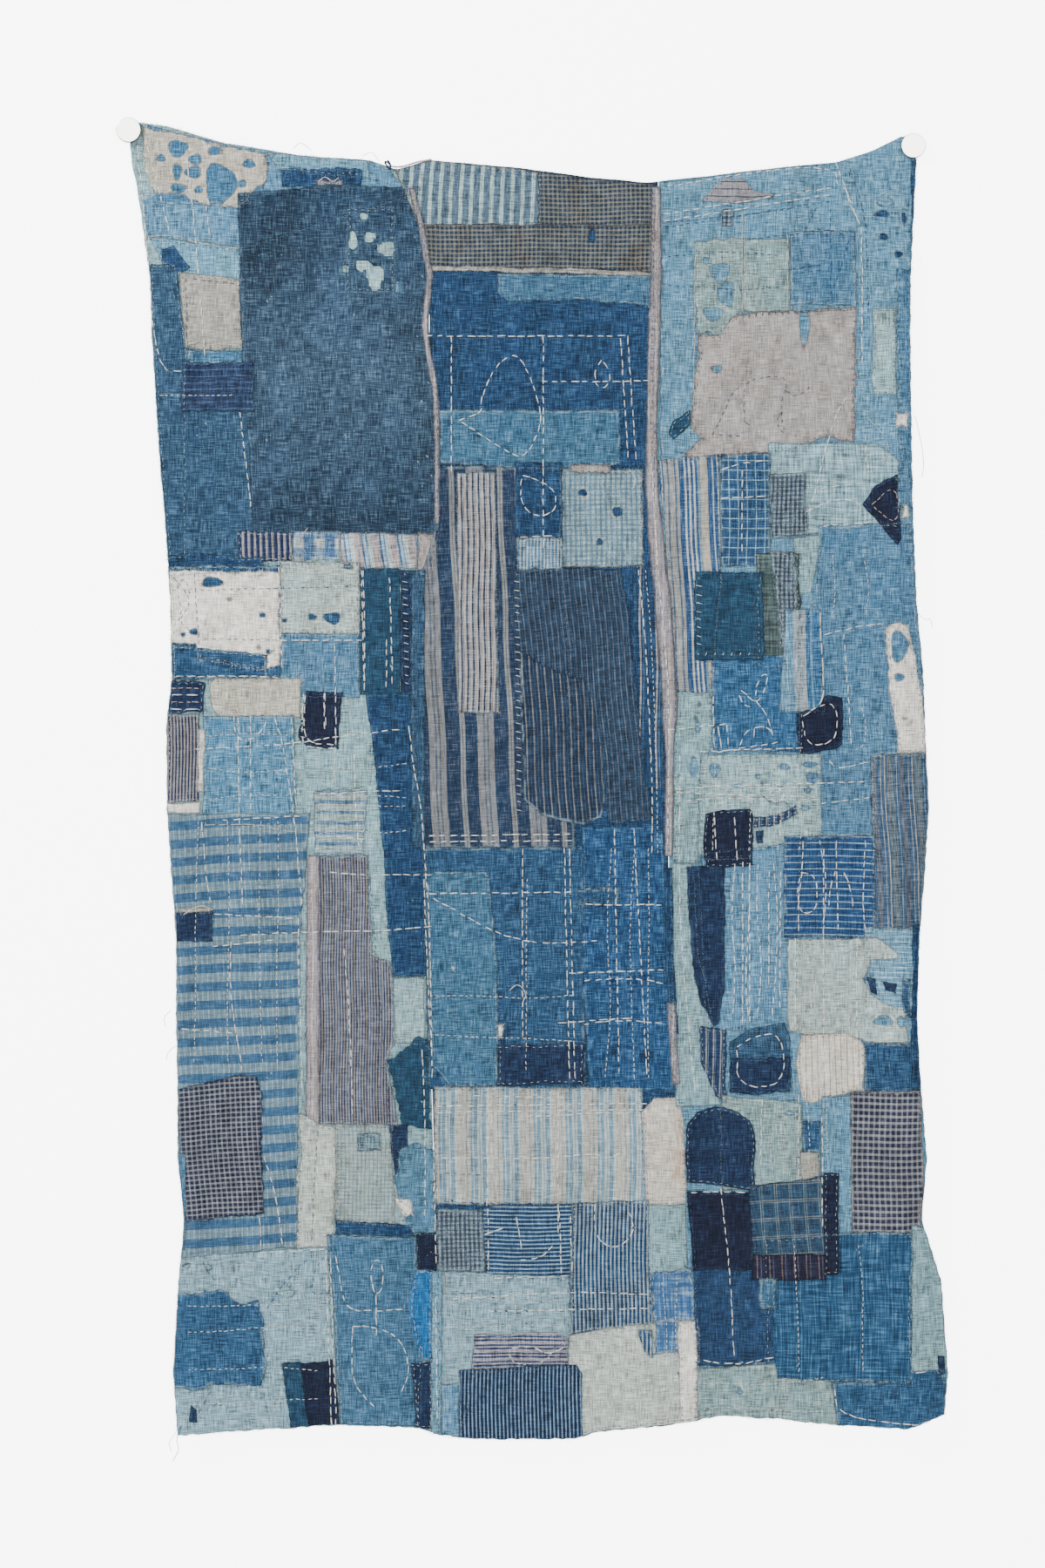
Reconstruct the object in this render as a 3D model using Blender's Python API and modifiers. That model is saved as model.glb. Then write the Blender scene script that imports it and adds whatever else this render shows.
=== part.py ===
"""Boro patched cloth hung flat on a wall under two disc magnets.

Metres, +Z up. The wall is the plane y = 0 and the cloth's front faces -Y. The origin is on the
wall, midway between the two discs' centres. The cloth is three loom widths sewn side by side, and
each is one draped sheet. Drops are measured down from the origin.
"""

import math

import bpy
import numpy as np

COLLECTION = "boro_patched_cloth"

# The sheets
SHEET = 0.002  # the patched layers, sewn together
SEAM_GAP = 0.0005  # between one loom width and the next
PANEL_COLUMNS = 12
PANEL_ROWS = 46

# The discs, which press the top corners to the wall
DISC_SPAN = 1.017  # between their centres, across
DISC_TILT = 0.0204  # the right one's drop below the left one
DISC_RADIUS = 0.016
DISC_THICKNESS = 0.005
DISC_ROUNDING = 0.0007
DISC_CLEARANCE = 0.0003  # behind a disc, to the cloth
DISC_SIDES = 40

# Near a disc the cloth lies flat on the wall
FLAT_RADIUS = 0.080
FLAT_BLEND = 0.100

# How far out the cloth hangs once it is clear of the discs, and over what drop it gets there
HANG_OUT = 0.004
HANG_DROP = 0.30

# Where the long edges and the two seams run, a row for each height
EDGE_COLUMNS = ("drop", "left_edge", "left_seam", "right_seam", "right_edge")
EDGE_ROWS = (
    (-0.02, -0.509, -0.170, 0.180, 0.506),
    (0.03, -0.505, -0.165, 0.180, 0.513),
    (0.07, -0.497, -0.141, 0.177, 0.511),
    (0.18, -0.481, -0.118, 0.175, 0.505),
    (0.26, -0.478, -0.119, 0.174, 0.504),
    (0.34, -0.473, -0.107, 0.173, 0.505),
    (0.42, -0.468, -0.106, 0.166, 0.506),
    (0.48, -0.462, -0.108, 0.171, 0.507),
    (0.60, -0.454, -0.140, 0.182, 0.512),
    (0.70, -0.452, -0.139, 0.191, 0.521),
    (0.76, -0.459, -0.138, 0.192, 0.523),
    (0.87, -0.458, -0.132, 0.191, 0.528),
    (0.96, -0.452, -0.122, 0.191, 0.522),
    (1.04, -0.446, -0.121, 0.193, 0.515),
    (1.14, -0.446, -0.120, 0.200, 0.512),
    (1.24, -0.444, -0.115, 0.205, 0.518),
    (1.32, -0.444, -0.113, 0.208, 0.525),
    (1.40, -0.435, -0.113, 0.211, 0.518),
    (1.48, -0.443, -0.114, 0.215, 0.544),
    (1.60, -0.450, -0.114, 0.217, 0.553),
    (1.69, -0.443, -0.114, 0.217, 0.545),
)

# The top edge's swag between the discs, and the uneven hem
TOP_COLUMNS = ("x", "drop")
TOP_ROWS = (
    (-0.510, -0.023),
    (-0.455, -0.016),
    (-0.384, 0.006),
    (-0.290, 0.022),
    (-0.195, 0.029),
    (-0.168, 0.041),
    (-0.120, 0.028),
    (-0.010, 0.038),
    (0.090, 0.051),
    (0.165, 0.058),
    (0.275, 0.045),
    (0.408, 0.031),
    (0.456, 0.016),
    (0.497, -0.003),
    (0.513, -0.001),
)
HEM_COLUMNS = ("x", "drop")
HEM_ROWS = (
    (-0.450, 1.679),
    (-0.290, 1.670),
    (-0.235, 1.666),
    (-0.139, 1.668),
    (-0.110, 1.679),
    (-0.060, 1.685),
    (0.070, 1.684),
    (0.095, 1.676),
    (0.217, 1.662),
    (0.255, 1.655),
    (0.335, 1.659),
    (0.410, 1.667),
    (0.500, 1.670),
    (0.553, 1.651),
)

# Soft upright folds: where each runs, how wide it is, and how far it stands out
FOLD_COLUMNS = ("x_top", "x_hem", "half_width", "out_top", "out_hem")
FOLD_ROWS = (
    (-0.470, -0.428, 0.040, 0.002, 0.010),
    (-0.360, -0.330, 0.075, 0.001, 0.006),
    (-0.205, -0.170, 0.055, 0.003, 0.012),
    (-0.020, 0.010, 0.090, 0.002, 0.007),
    (0.150, 0.185, 0.050, 0.004, 0.013),
    (0.330, 0.350, 0.080, 0.001, 0.006),
    (0.485, 0.500, 0.040, 0.003, 0.016),
)

# Soft ridges that the weight pulls from each disc: the angle below level, towards the middle
PULL_COLUMNS = ("side", "angle", "reach", "half_width", "out")
PULL_ROWS = (
    (-1, 14, 0.42, 0.022, 0.005),
    (-1, 48, 0.55, 0.035, 0.004),
    (1, 13, 0.38, 0.022, 0.005),
    (1, 52, 0.60, 0.035, 0.004),
)

PANELS = (
    ("panel_left", "left_edge", "left_seam"),
    ("panel_centre", "left_seam", "right_seam"),
    ("panel_right", "right_seam", "right_edge"),
)

# Base colour (linear), roughness and metallic value
FINISHES = {
    "panel_left": ((0.13, 0.27, 0.38), 0.95, 0.0),
    "panel_centre": ((0.06, 0.17, 0.31), 0.95, 0.0),
    "panel_right": ((0.15, 0.30, 0.40), 0.95, 0.0),
    "disc": ((0.80, 0.80, 0.78), 0.35, 0.9),
}


def table(columns, rows):
    """A table as a dictionary of its named columns."""
    return dict(zip(columns, np.array(rows).T))


EDGES = table(EDGE_COLUMNS, EDGE_ROWS)
TOP = table(TOP_COLUMNS, TOP_ROWS)
HEM = table(HEM_COLUMNS, HEM_ROWS)
FOLDS = table(FOLD_COLUMNS, FOLD_ROWS)
PULLS = table(PULL_COLUMNS, PULL_ROWS)


def ease(value, start, end):
    """0 before start, 1 after end and a smooth step between."""
    t = np.clip((value - start) / (end - start), 0.0, 1.0)
    return t * t * (3.0 - 2.0 * t)


def disc_centre(side):
    """x and drop of the disc on this side, -1 for the left and 1 for the right."""
    return side * DISC_SPAN / 2, side * DISC_TILT / 2


def standoff(x, drop):
    """Distance from the wall to the middle of the sheet."""
    down = np.clip(drop / HEM["drop"].max(), 0.0, 1.0)
    out = HANG_OUT * ease(drop, 0.0, HANG_DROP)
    for x_top, x_hem, half_width, out_top, out_hem in zip(*FOLDS.values()):
        crest = x_top + (x_hem - x_top) * down
        height = out_top + (out_hem - out_top) * down
        out += height * np.exp(-(((x - crest) / half_width) ** 2))
    for side, angle, reach, half_width, height in zip(*PULLS.values()):
        disc_x, disc_drop = disc_centre(side)
        inward = side * (disc_x - x)
        below = drop - disc_drop
        slope = math.radians(angle)
        along = inward * math.cos(slope) + below * math.sin(slope)
        across = inward * math.sin(slope) - below * math.cos(slope)
        fade = ease(along, 0.0, 0.1) * (1.0 - ease(along, reach * 0.4, reach))
        out += height * fade * np.exp(-((across / half_width) ** 2))
    nearest = min(math.dist((x, drop), disc_centre(side)) for side in (-1, 1))
    return SHEET / 2 + out * ease(nearest, FLAT_RADIUS, FLAT_RADIUS + FLAT_BLEND)


def hung_point(left, right, u, v):
    """Where the point a share u across and v down a loom width hangs."""

    def across(drop):
        start = np.interp(drop, EDGES["drop"], EDGES[left])
        end = np.interp(drop, EDGES["drop"], EDGES[right])
        if left.endswith("seam"):
            start += SEAM_GAP / 2
        if right.endswith("seam"):
            end -= SEAM_GAP / 2
        return start + (end - start) * u

    top = np.interp(across(TOP["drop"].mean()), TOP["x"], TOP["drop"])
    hem = np.interp(across(HEM["drop"].mean()), HEM["x"], HEM["drop"])
    drop = top + (hem - top) * v
    x = across(drop)
    return x, -standoff(x, drop), -drop


def finish(name, key):
    """A Principled material of the colour, roughness and metallic value in FINISHES."""
    colour, roughness, metallic = FINISHES[key]
    material = bpy.data.materials.new(name)
    material.use_nodes = True
    shader = material.node_tree.nodes["Principled BSDF"]
    shader.inputs["Base Color"].default_value = (*colour, 1.0)
    shader.inputs["Roughness"].default_value = roughness
    shader.inputs["Metallic"].default_value = metallic
    return material


def collect(piece, name, collection, parent, key):
    """Names a new piece, moves it to the part's collection and gives it its own material."""
    piece.name = piece.data.name = name
    for other in piece.users_collection:
        other.objects.unlink(piece)
    collection.objects.link(piece)
    piece.parent = parent
    piece.data.materials.append(finish(name, key))


def make_panel(name, left, right, collection, parent):
    """One loom width: a grid laid on the folds, made a sheet by Solidify."""
    bpy.ops.mesh.primitive_grid_add(x_subdivisions=PANEL_COLUMNS, y_subdivisions=PANEL_ROWS, size=1.0)
    panel = bpy.context.object
    for vertex in panel.data.vertices:
        vertex.co = hung_point(left, right, vertex.co.x + 0.5, 0.5 - vertex.co.y)
    panel.data.shade_smooth()
    collect(panel, name, collection, parent, name)
    sheet = panel.modifiers.new("sheet", "SOLIDIFY")
    sheet.thickness = SHEET
    sheet.offset = 0.0


def make_disc(name, side, collection, parent):
    """A plain round magnet with its rim rounded, flat against the cloth's front."""
    x, drop = disc_centre(side)
    back = SHEET + DISC_CLEARANCE
    bpy.ops.mesh.primitive_cylinder_add(
        vertices=DISC_SIDES,
        radius=DISC_RADIUS,
        depth=DISC_THICKNESS,
        location=(x, -back - DISC_THICKNESS / 2, -drop),
        rotation=(math.pi / 2, 0.0, 0.0),
    )
    disc = bpy.context.object
    collect(disc, name, collection, parent, "disc")
    rim = disc.modifiers.new("rim", "BEVEL")
    rim.width = DISC_ROUNDING
    rim.segments = 2
    rim.limit_method = "ANGLE"
    disc.data.shade_smooth()
    disc.data.set_sharp_from_angle(angle=math.radians(35))


def main():
    for leftover in list(bpy.data.objects):
        bpy.data.objects.remove(leftover)
    collection = bpy.data.collections.new(COLLECTION)
    bpy.context.scene.collection.children.link(collection)
    hang_line = bpy.data.objects.new("hang_line", None)
    collection.objects.link(hang_line)
    for name, left, right in PANELS:
        make_panel(name, left, right, collection, hang_line)
    make_disc("disc_left", -1, collection, hang_line)
    make_disc("disc_right", 1, collection, hang_line)


main()
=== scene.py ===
import math
import bpy
import numpy as np
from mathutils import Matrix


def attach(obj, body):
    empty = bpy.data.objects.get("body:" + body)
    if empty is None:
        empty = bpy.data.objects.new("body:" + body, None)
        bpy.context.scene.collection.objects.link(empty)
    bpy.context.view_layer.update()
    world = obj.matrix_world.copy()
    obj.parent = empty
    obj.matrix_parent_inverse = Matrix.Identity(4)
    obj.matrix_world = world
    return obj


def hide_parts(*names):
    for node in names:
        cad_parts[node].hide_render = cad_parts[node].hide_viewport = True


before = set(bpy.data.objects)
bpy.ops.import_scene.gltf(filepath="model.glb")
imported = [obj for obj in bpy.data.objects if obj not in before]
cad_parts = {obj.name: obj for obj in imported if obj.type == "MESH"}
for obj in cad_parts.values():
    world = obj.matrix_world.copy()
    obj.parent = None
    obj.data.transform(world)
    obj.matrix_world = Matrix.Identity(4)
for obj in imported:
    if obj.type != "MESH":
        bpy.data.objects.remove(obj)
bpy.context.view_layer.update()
print("frame loaded")

# The cloth hangs on a wall at y = 0 and faces -Y. The chart below is in centimetres: x from the
# middle of the two discs, and drop down from the line between them. Meshes are in metres.
cm = 0.01
mm = 0.001

# How the cloth hangs, with the same sizes as the solids.
hang = {
    "sheet": 0.002,  # the solid sheet's thickness
    "seamGap": 0.0005,  # between one loom width and the next
    "discSpan": 1.017,  # between the discs' centres
    "discTilt": 0.0204,  # the right disc's drop below the left one
    "flatRadius": 0.080,  # the cloth lies flat this far round a disc
    "flatBlend": 0.100,  # and over this much more it comes away from the wall
    "hangOut": 0.004,
    "hangDrop": 0.30,  # the drop over which it comes out to hangOut
    "length": 1.685,
}

longEdges = np.array((  # drop, left edge, left seam, right seam, right edge
    (-0.02, -0.509, -0.170, 0.180, 0.506),
    (0.03, -0.505, -0.165, 0.180, 0.513),
    (0.07, -0.497, -0.141, 0.177, 0.511),
    (0.18, -0.481, -0.118, 0.175, 0.505),
    (0.26, -0.478, -0.119, 0.174, 0.504),
    (0.34, -0.473, -0.107, 0.173, 0.505),
    (0.42, -0.468, -0.106, 0.166, 0.506),
    (0.48, -0.462, -0.108, 0.171, 0.507),
    (0.60, -0.454, -0.140, 0.182, 0.512),
    (0.70, -0.452, -0.139, 0.191, 0.521),
    (0.76, -0.459, -0.138, 0.192, 0.523),
    (0.87, -0.458, -0.132, 0.191, 0.528),
    (0.96, -0.452, -0.122, 0.191, 0.522),
    (1.04, -0.446, -0.121, 0.193, 0.515),
    (1.14, -0.446, -0.120, 0.200, 0.512),
    (1.24, -0.444, -0.115, 0.205, 0.518),
    (1.32, -0.444, -0.113, 0.208, 0.525),
    (1.40, -0.435, -0.113, 0.211, 0.518),
    (1.48, -0.443, -0.114, 0.215, 0.544),
    (1.60, -0.450, -0.114, 0.217, 0.553),
    (1.69, -0.443, -0.114, 0.217, 0.545),
)).T
edgeNames = ("leftEdge", "leftSeam", "rightSeam", "rightEdge")
topEdge = np.array((  # x, drop
    (-0.510, -0.023), (-0.455, -0.016), (-0.384, 0.006), (-0.290, 0.022), (-0.195, 0.029),
    (-0.168, 0.041), (-0.120, 0.028), (-0.010, 0.038), (0.090, 0.051), (0.165, 0.058),
    (0.275, 0.045), (0.408, 0.031), (0.456, 0.016), (0.497, -0.003), (0.513, -0.001),
)).T
hem = np.array((  # x, drop
    (-0.450, 1.679), (-0.290, 1.670), (-0.235, 1.666), (-0.139, 1.668), (-0.110, 1.679),
    (-0.060, 1.685), (0.070, 1.684), (0.095, 1.676), (0.217, 1.662), (0.255, 1.655),
    (0.335, 1.659), (0.410, 1.667), (0.500, 1.670), (0.553, 1.651),
)).T
uprightFolds = (  # x at the top, x at the hem, half width, out at the top, out at the hem
    (-0.470, -0.428, 0.040, 0.002, 0.010),
    (-0.360, -0.330, 0.075, 0.001, 0.006),
    (-0.205, -0.170, 0.055, 0.003, 0.012),
    (-0.020, 0.010, 0.090, 0.002, 0.007),
    (0.150, 0.185, 0.050, 0.004, 0.013),
    (0.330, 0.350, 0.080, 0.001, 0.006),
    (0.485, 0.500, 0.040, 0.003, 0.016),
)
discPulls = (  # side, degrees below level, reach, half width, out
    (-1, 14, 0.42, 0.022, 0.005),
    (-1, 48, 0.55, 0.035, 0.004),
    (1, 13, 0.38, 0.022, 0.005),
    (1, 52, 0.60, 0.035, 0.004),
)
smallCreases = (  # x, drop, x, drop in cm, half width and height in mm, below 0 for a trough
    (-46, 8, -42, 26, 5, 1.2),
    (-17.5, 3.5, -13, 15, 4, -1.4),
    (-15, 12, -11.5, 26, 5, 1.3),
    (-40, 30, -34, 42, 6, 1.0),
    (-44, 96, -43, 118, 5, 1.4),
    (-42.5, 122, -42, 147, 5, 1.8),
    (-31, 146, -36, 150, 6, 1.0),
    (-20, 148, -17, 160, 7, 1.0),
    (-14, 58, -13, 84, 4, -1.2),
    (3, 16, 9, 30, 7, 0.9),
    (14, 60, 19, 78, 4, -1.2),
    (20, 98, 24, 116, 5, 1.4),
    (36, 8, 43, 20, 6, 1.0),
    (47, 40, 44, 56, 6, 1.2),
    (49, 63, 50, 78, 5, 1.4),
    (50, 105, 49, 120, 4, 1.2),
    (51.5, 141, 53.5, 158, 5, 2.2),
    (52.8, 147, 51.5, 150.5, 4, -1.6),
    (40, 158, 50, 162, 6, 1.2),
    (12, 158, 16, 163, 6, 1.4),
)


def ease(value, start, end):  # 0 before start, 1 after end, a smooth step between
    t = np.clip((value - start) / (end - start), 0.0, 1.0)
    return t * t * (3.0 - 2.0 * t)


def discCentre(side):  # x and drop
    return side * hang["discSpan"] / 2, side * hang["discTilt"] / 2


def clearOfDiscs(x, drop):  # 0 under the discs, 1 well clear of both
    nearest = np.minimum(*(np.hypot(x - discCentre(s)[0], drop - discCentre(s)[1]) for s in (-1, 1)))
    return ease(nearest, hang["flatRadius"], hang["flatRadius"] + hang["flatBlend"])


# Distance from the wall: a rise, plus one bell-shaped ridge for each upright fold and each pull
# from a disc, all fading to nothing where a disc presses the cloth flat.
def standoff(x, drop):
    down = np.clip(drop / hang["length"], 0.0, 1.0)
    out = hang["hangOut"] * ease(drop, 0.0, hang["hangDrop"])
    for xTop, xHem, halfWidth, outTop, outHem in uprightFolds:
        crest = xTop + (xHem - xTop) * down
        out = out + (outTop + (outHem - outTop) * down) * np.exp(-(((x - crest) / halfWidth) ** 2))
    for side, angle, reach, halfWidth, height in discPulls:
        discX, discDrop = discCentre(side)
        slope = math.radians(angle)
        inward, below = side * (discX - x), drop - discDrop
        along = inward * math.cos(slope) + below * math.sin(slope)
        across = inward * math.sin(slope) - below * math.cos(slope)
        fade = ease(along, 0.0, 0.1) * (1.0 - ease(along, reach * 0.4, reach))
        out = out + height * fade * np.exp(-((across / halfWidth) ** 2))
    return hang["sheet"] / 2 + out * clearOfDiscs(x, drop)


# The cockle of hand sewing: products of sines across and down, each bent by a slower one, plus a
# bell-shaped ridge or trough along each small crease.
def cockle(x, drop):
    out = 1.5 * mm * np.sin(61 * x + 2.1 * np.sin(17 * drop)) * np.sin(47 * drop + 1.7 * np.sin(23 * x))
    out += 1.2 * mm * np.sin(137 * x + 3 * np.sin(31 * drop)) * np.sin(119 * drop + 2 * np.sin(57 * x))
    out += 0.55 * mm * np.sin(330 * x + 3 * np.sin(83 * drop)) * np.sin(290 * drop + 2 * np.sin(97 * x))
    for x0, d0, x1, d1, halfWidth, height in smallCreases:
        start, way = np.array((x0, d0)) * cm, np.array((x1 - x0, d1 - d0)) * cm
        along = ((x - start[0]) * way[0] + (drop - start[1]) * way[1]) / (way @ way)
        across = ((x - start[0]) * way[1] - (drop - start[1]) * way[0]) / math.hypot(*way)
        fade = ease(along, -0.1, 0.3) * (1 - ease(along, 0.7, 1.1))
        out += height * mm * fade * np.exp(-((across / (halfWidth * mm)) ** 2))
    return (out - pullAt(x, drop)) * clearOfDiscs(x, drop)


def hungPoints(x, drop, lift):  # lift is how far in front of the sheet's middle
    squeezed = lift * (0.45 + 0.55 * clearOfDiscs(x, drop))
    out = np.maximum(standoff(x, drop) + cockle(x, drop), hang["sheet"] / 2) + squeezed
    return np.stack((x, -out, -drop), axis=-1)


def longEdge(name, drop):
    return np.interp(drop, longEdges[0], longEdges[1 + edgeNames.index(name)])


# Keeps chart points on the cloth, a little inside its own edges.
def keepOnCloth(x, drop, margin=1.2 * mm):
    drop = np.clip(drop, np.interp(x, *topEdge) + margin, np.interp(x, *hem) - margin)
    x = np.clip(x, longEdge("leftEdge", drop) + margin, longEdge("rightEdge", drop) - margin)
    return x, drop


random = np.random.default_rng(7)


# A smooth random line: random values every step, joined by a cubic blend, from -1 to 1.
def waver(length, step, count):
    knots = random.uniform(-1, 1, int(length / step) + 3)
    place = np.linspace(0, length / step, count)
    index = np.minimum(place.astype(int), len(knots) - 2)
    return knots[index] + (knots[index + 1] - knots[index]) * ease(place - index, 0, 1)


# A grid of points made a mesh, faces out of the cloth's front, with its maps and values.
def gridMesh(name, points, maps, rim=None, keep=None):
    rows, columns = points.shape[:2]
    index = np.arange(rows * columns).reshape(rows, columns)
    quads = np.stack((index[:-1, :-1], index[1:, :-1], index[1:, 1:], index[:-1, 1:]), axis=-1)
    quads = quads.reshape(-1, 4)[slice(None) if keep is None else keep]
    used, corners = np.unique(quads, return_inverse=True)
    return rawMesh(name, points.reshape(-1, 3)[used], corners.reshape(-1, 4),
                   {key: value.reshape(-1, 2)[used] for key, value in maps.items()},
                   None if rim is None else rim.reshape(-1)[used])


def rawMesh(name, points, quads, maps=None, rim=None, dye=None):
    mesh = bpy.data.meshes.new(name)
    mesh.vertices.add(len(points))
    mesh.vertices.foreach_set("co", points.astype(np.float32).ravel())
    mesh.loops.add(quads.size)
    mesh.loops.foreach_set("vertex_index", quads.astype(np.int32).ravel())
    mesh.polygons.add(len(quads))
    mesh.polygons.foreach_set("loop_start", np.arange(0, quads.size, quads.shape[1], dtype=np.int32))
    for key, value in (maps or {}).items():
        layer = mesh.uv_layers.new(name=key)
        layer.uv.foreach_set("vector", value[quads.ravel()].astype(np.float32).ravel())
    if rim is not None:
        values = mesh.attributes.new("rim", "FLOAT", "POINT").data
        values.foreach_set("value", rim.astype(np.float32))
    if dye is not None:
        values = mesh.attributes.new("dye", "FLOAT_COLOR", "POINT").data
        values.foreach_set("color", dye.astype(np.float32).ravel())
    mesh.update(calc_edges=True)
    mesh.validate()
    mesh.shade_smooth()
    piece = bpy.data.objects.new(name, mesh)
    bpy.context.scene.collection.objects.link(piece)
    return piece


# How high the layers have built up: a map over the cloth, raised by each patch.
pile = {
    "cell": 0.004,
    "left": -0.60,
    "top": -0.06,
    "ground": 0.0005,  # half the ground cloth's thickness
    "layer": 0.00060,  # one more patch
    "edgeDrop": 0.00042,  # how far a patch's edge is pressed down by its stitches
}
heights = np.full((450, 300), pile["ground"])


def pileIndex(x, drop):
    row = np.clip(((drop - pile["top"]) / pile["cell"]).astype(int), 2, heights.shape[0] - 3)
    column = np.clip(((x - pile["left"]) / pile["cell"]).astype(int), 2, heights.shape[1] - 3)
    return row, column


# The pile under each point: the highest cell within one step, then the mean of those around it.
def pileUnder(x, drop, smooth=True):
    steps = [(i, j) for i in (-1, 0, 1) for j in (-1, 0, 1)]
    most = np.max([np.roll(heights, s, (0, 1)) for s in steps], axis=0)
    if smooth:
        most = np.mean([np.roll(most, s, (0, 1)) for s in steps], axis=0)
    return most[pileIndex(x, drop)]


def linear(hexText):  # sRGB hex to linear values
    value = np.array([int(hexText[i:i + 2], 16) for i in (0, 2, 4)]) / 255
    value = np.where(value <= 0.04045, value / 12.92, ((value + 0.055) / 1.055) ** 2.4)
    return (*value.tolist(), 1.0)


def add(tree, kind, inputs=None, **settings):  # one node with its settings, values and links
    made = tree.nodes.new("ShaderNode" + kind)
    for key, value in settings.items():
        setattr(made, key, value)
    for key, value in (inputs or {}).items():
        if isinstance(value, bpy.types.NodeSocket):
            tree.links.new(value, made.inputs[key])
        else:
            made.inputs[key].default_value = value
    return made.outputs


# The linear colours are raised to this power: deep dyes go deeper and pale ones hardly change.
dyeDepth = 1.16


def dyed(hexText):
    return (*(value ** dyeDepth for value in linear(hexText)[:3]), 1.0)


clothDefaults = {
    "shades": ("7ba6bb", "6f9fb5"),  # two dips of the dye, in clouds
    "warp": None,  # (period in mm, [(share of the period, colour or "" for the ground), ...])
    "weft": None,
    "warpShare": 1.0,
    "weftShare": 1.0,
    "yarn": 1.25,  # mm: real yarn is about 0.5 mm, drawn as coarse as it needs to show
    "slub": 2.4,  # how much the uneven yarn changes the colour
    "cloud": 0.9,  # how much the clouds of wear do, and with them the painted pucker shade
    "streaks": (27, 12, 0),  # clouds a metre, across and down
    "worn": ("a9c3cc", 0.55),  # colour where the dye has rubbed off, and how much
    "rim": ("a9c3cc", 0.45),  # colour of the rubbed edges, and how much
    "paintedEdgeShade": 0.68,  # how dark the painted shadow along a patch's outermost edge is
    "stain": None,
    "fade": None,  # (colour, drop where it starts, drop from there to its height, how much)
}
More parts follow.
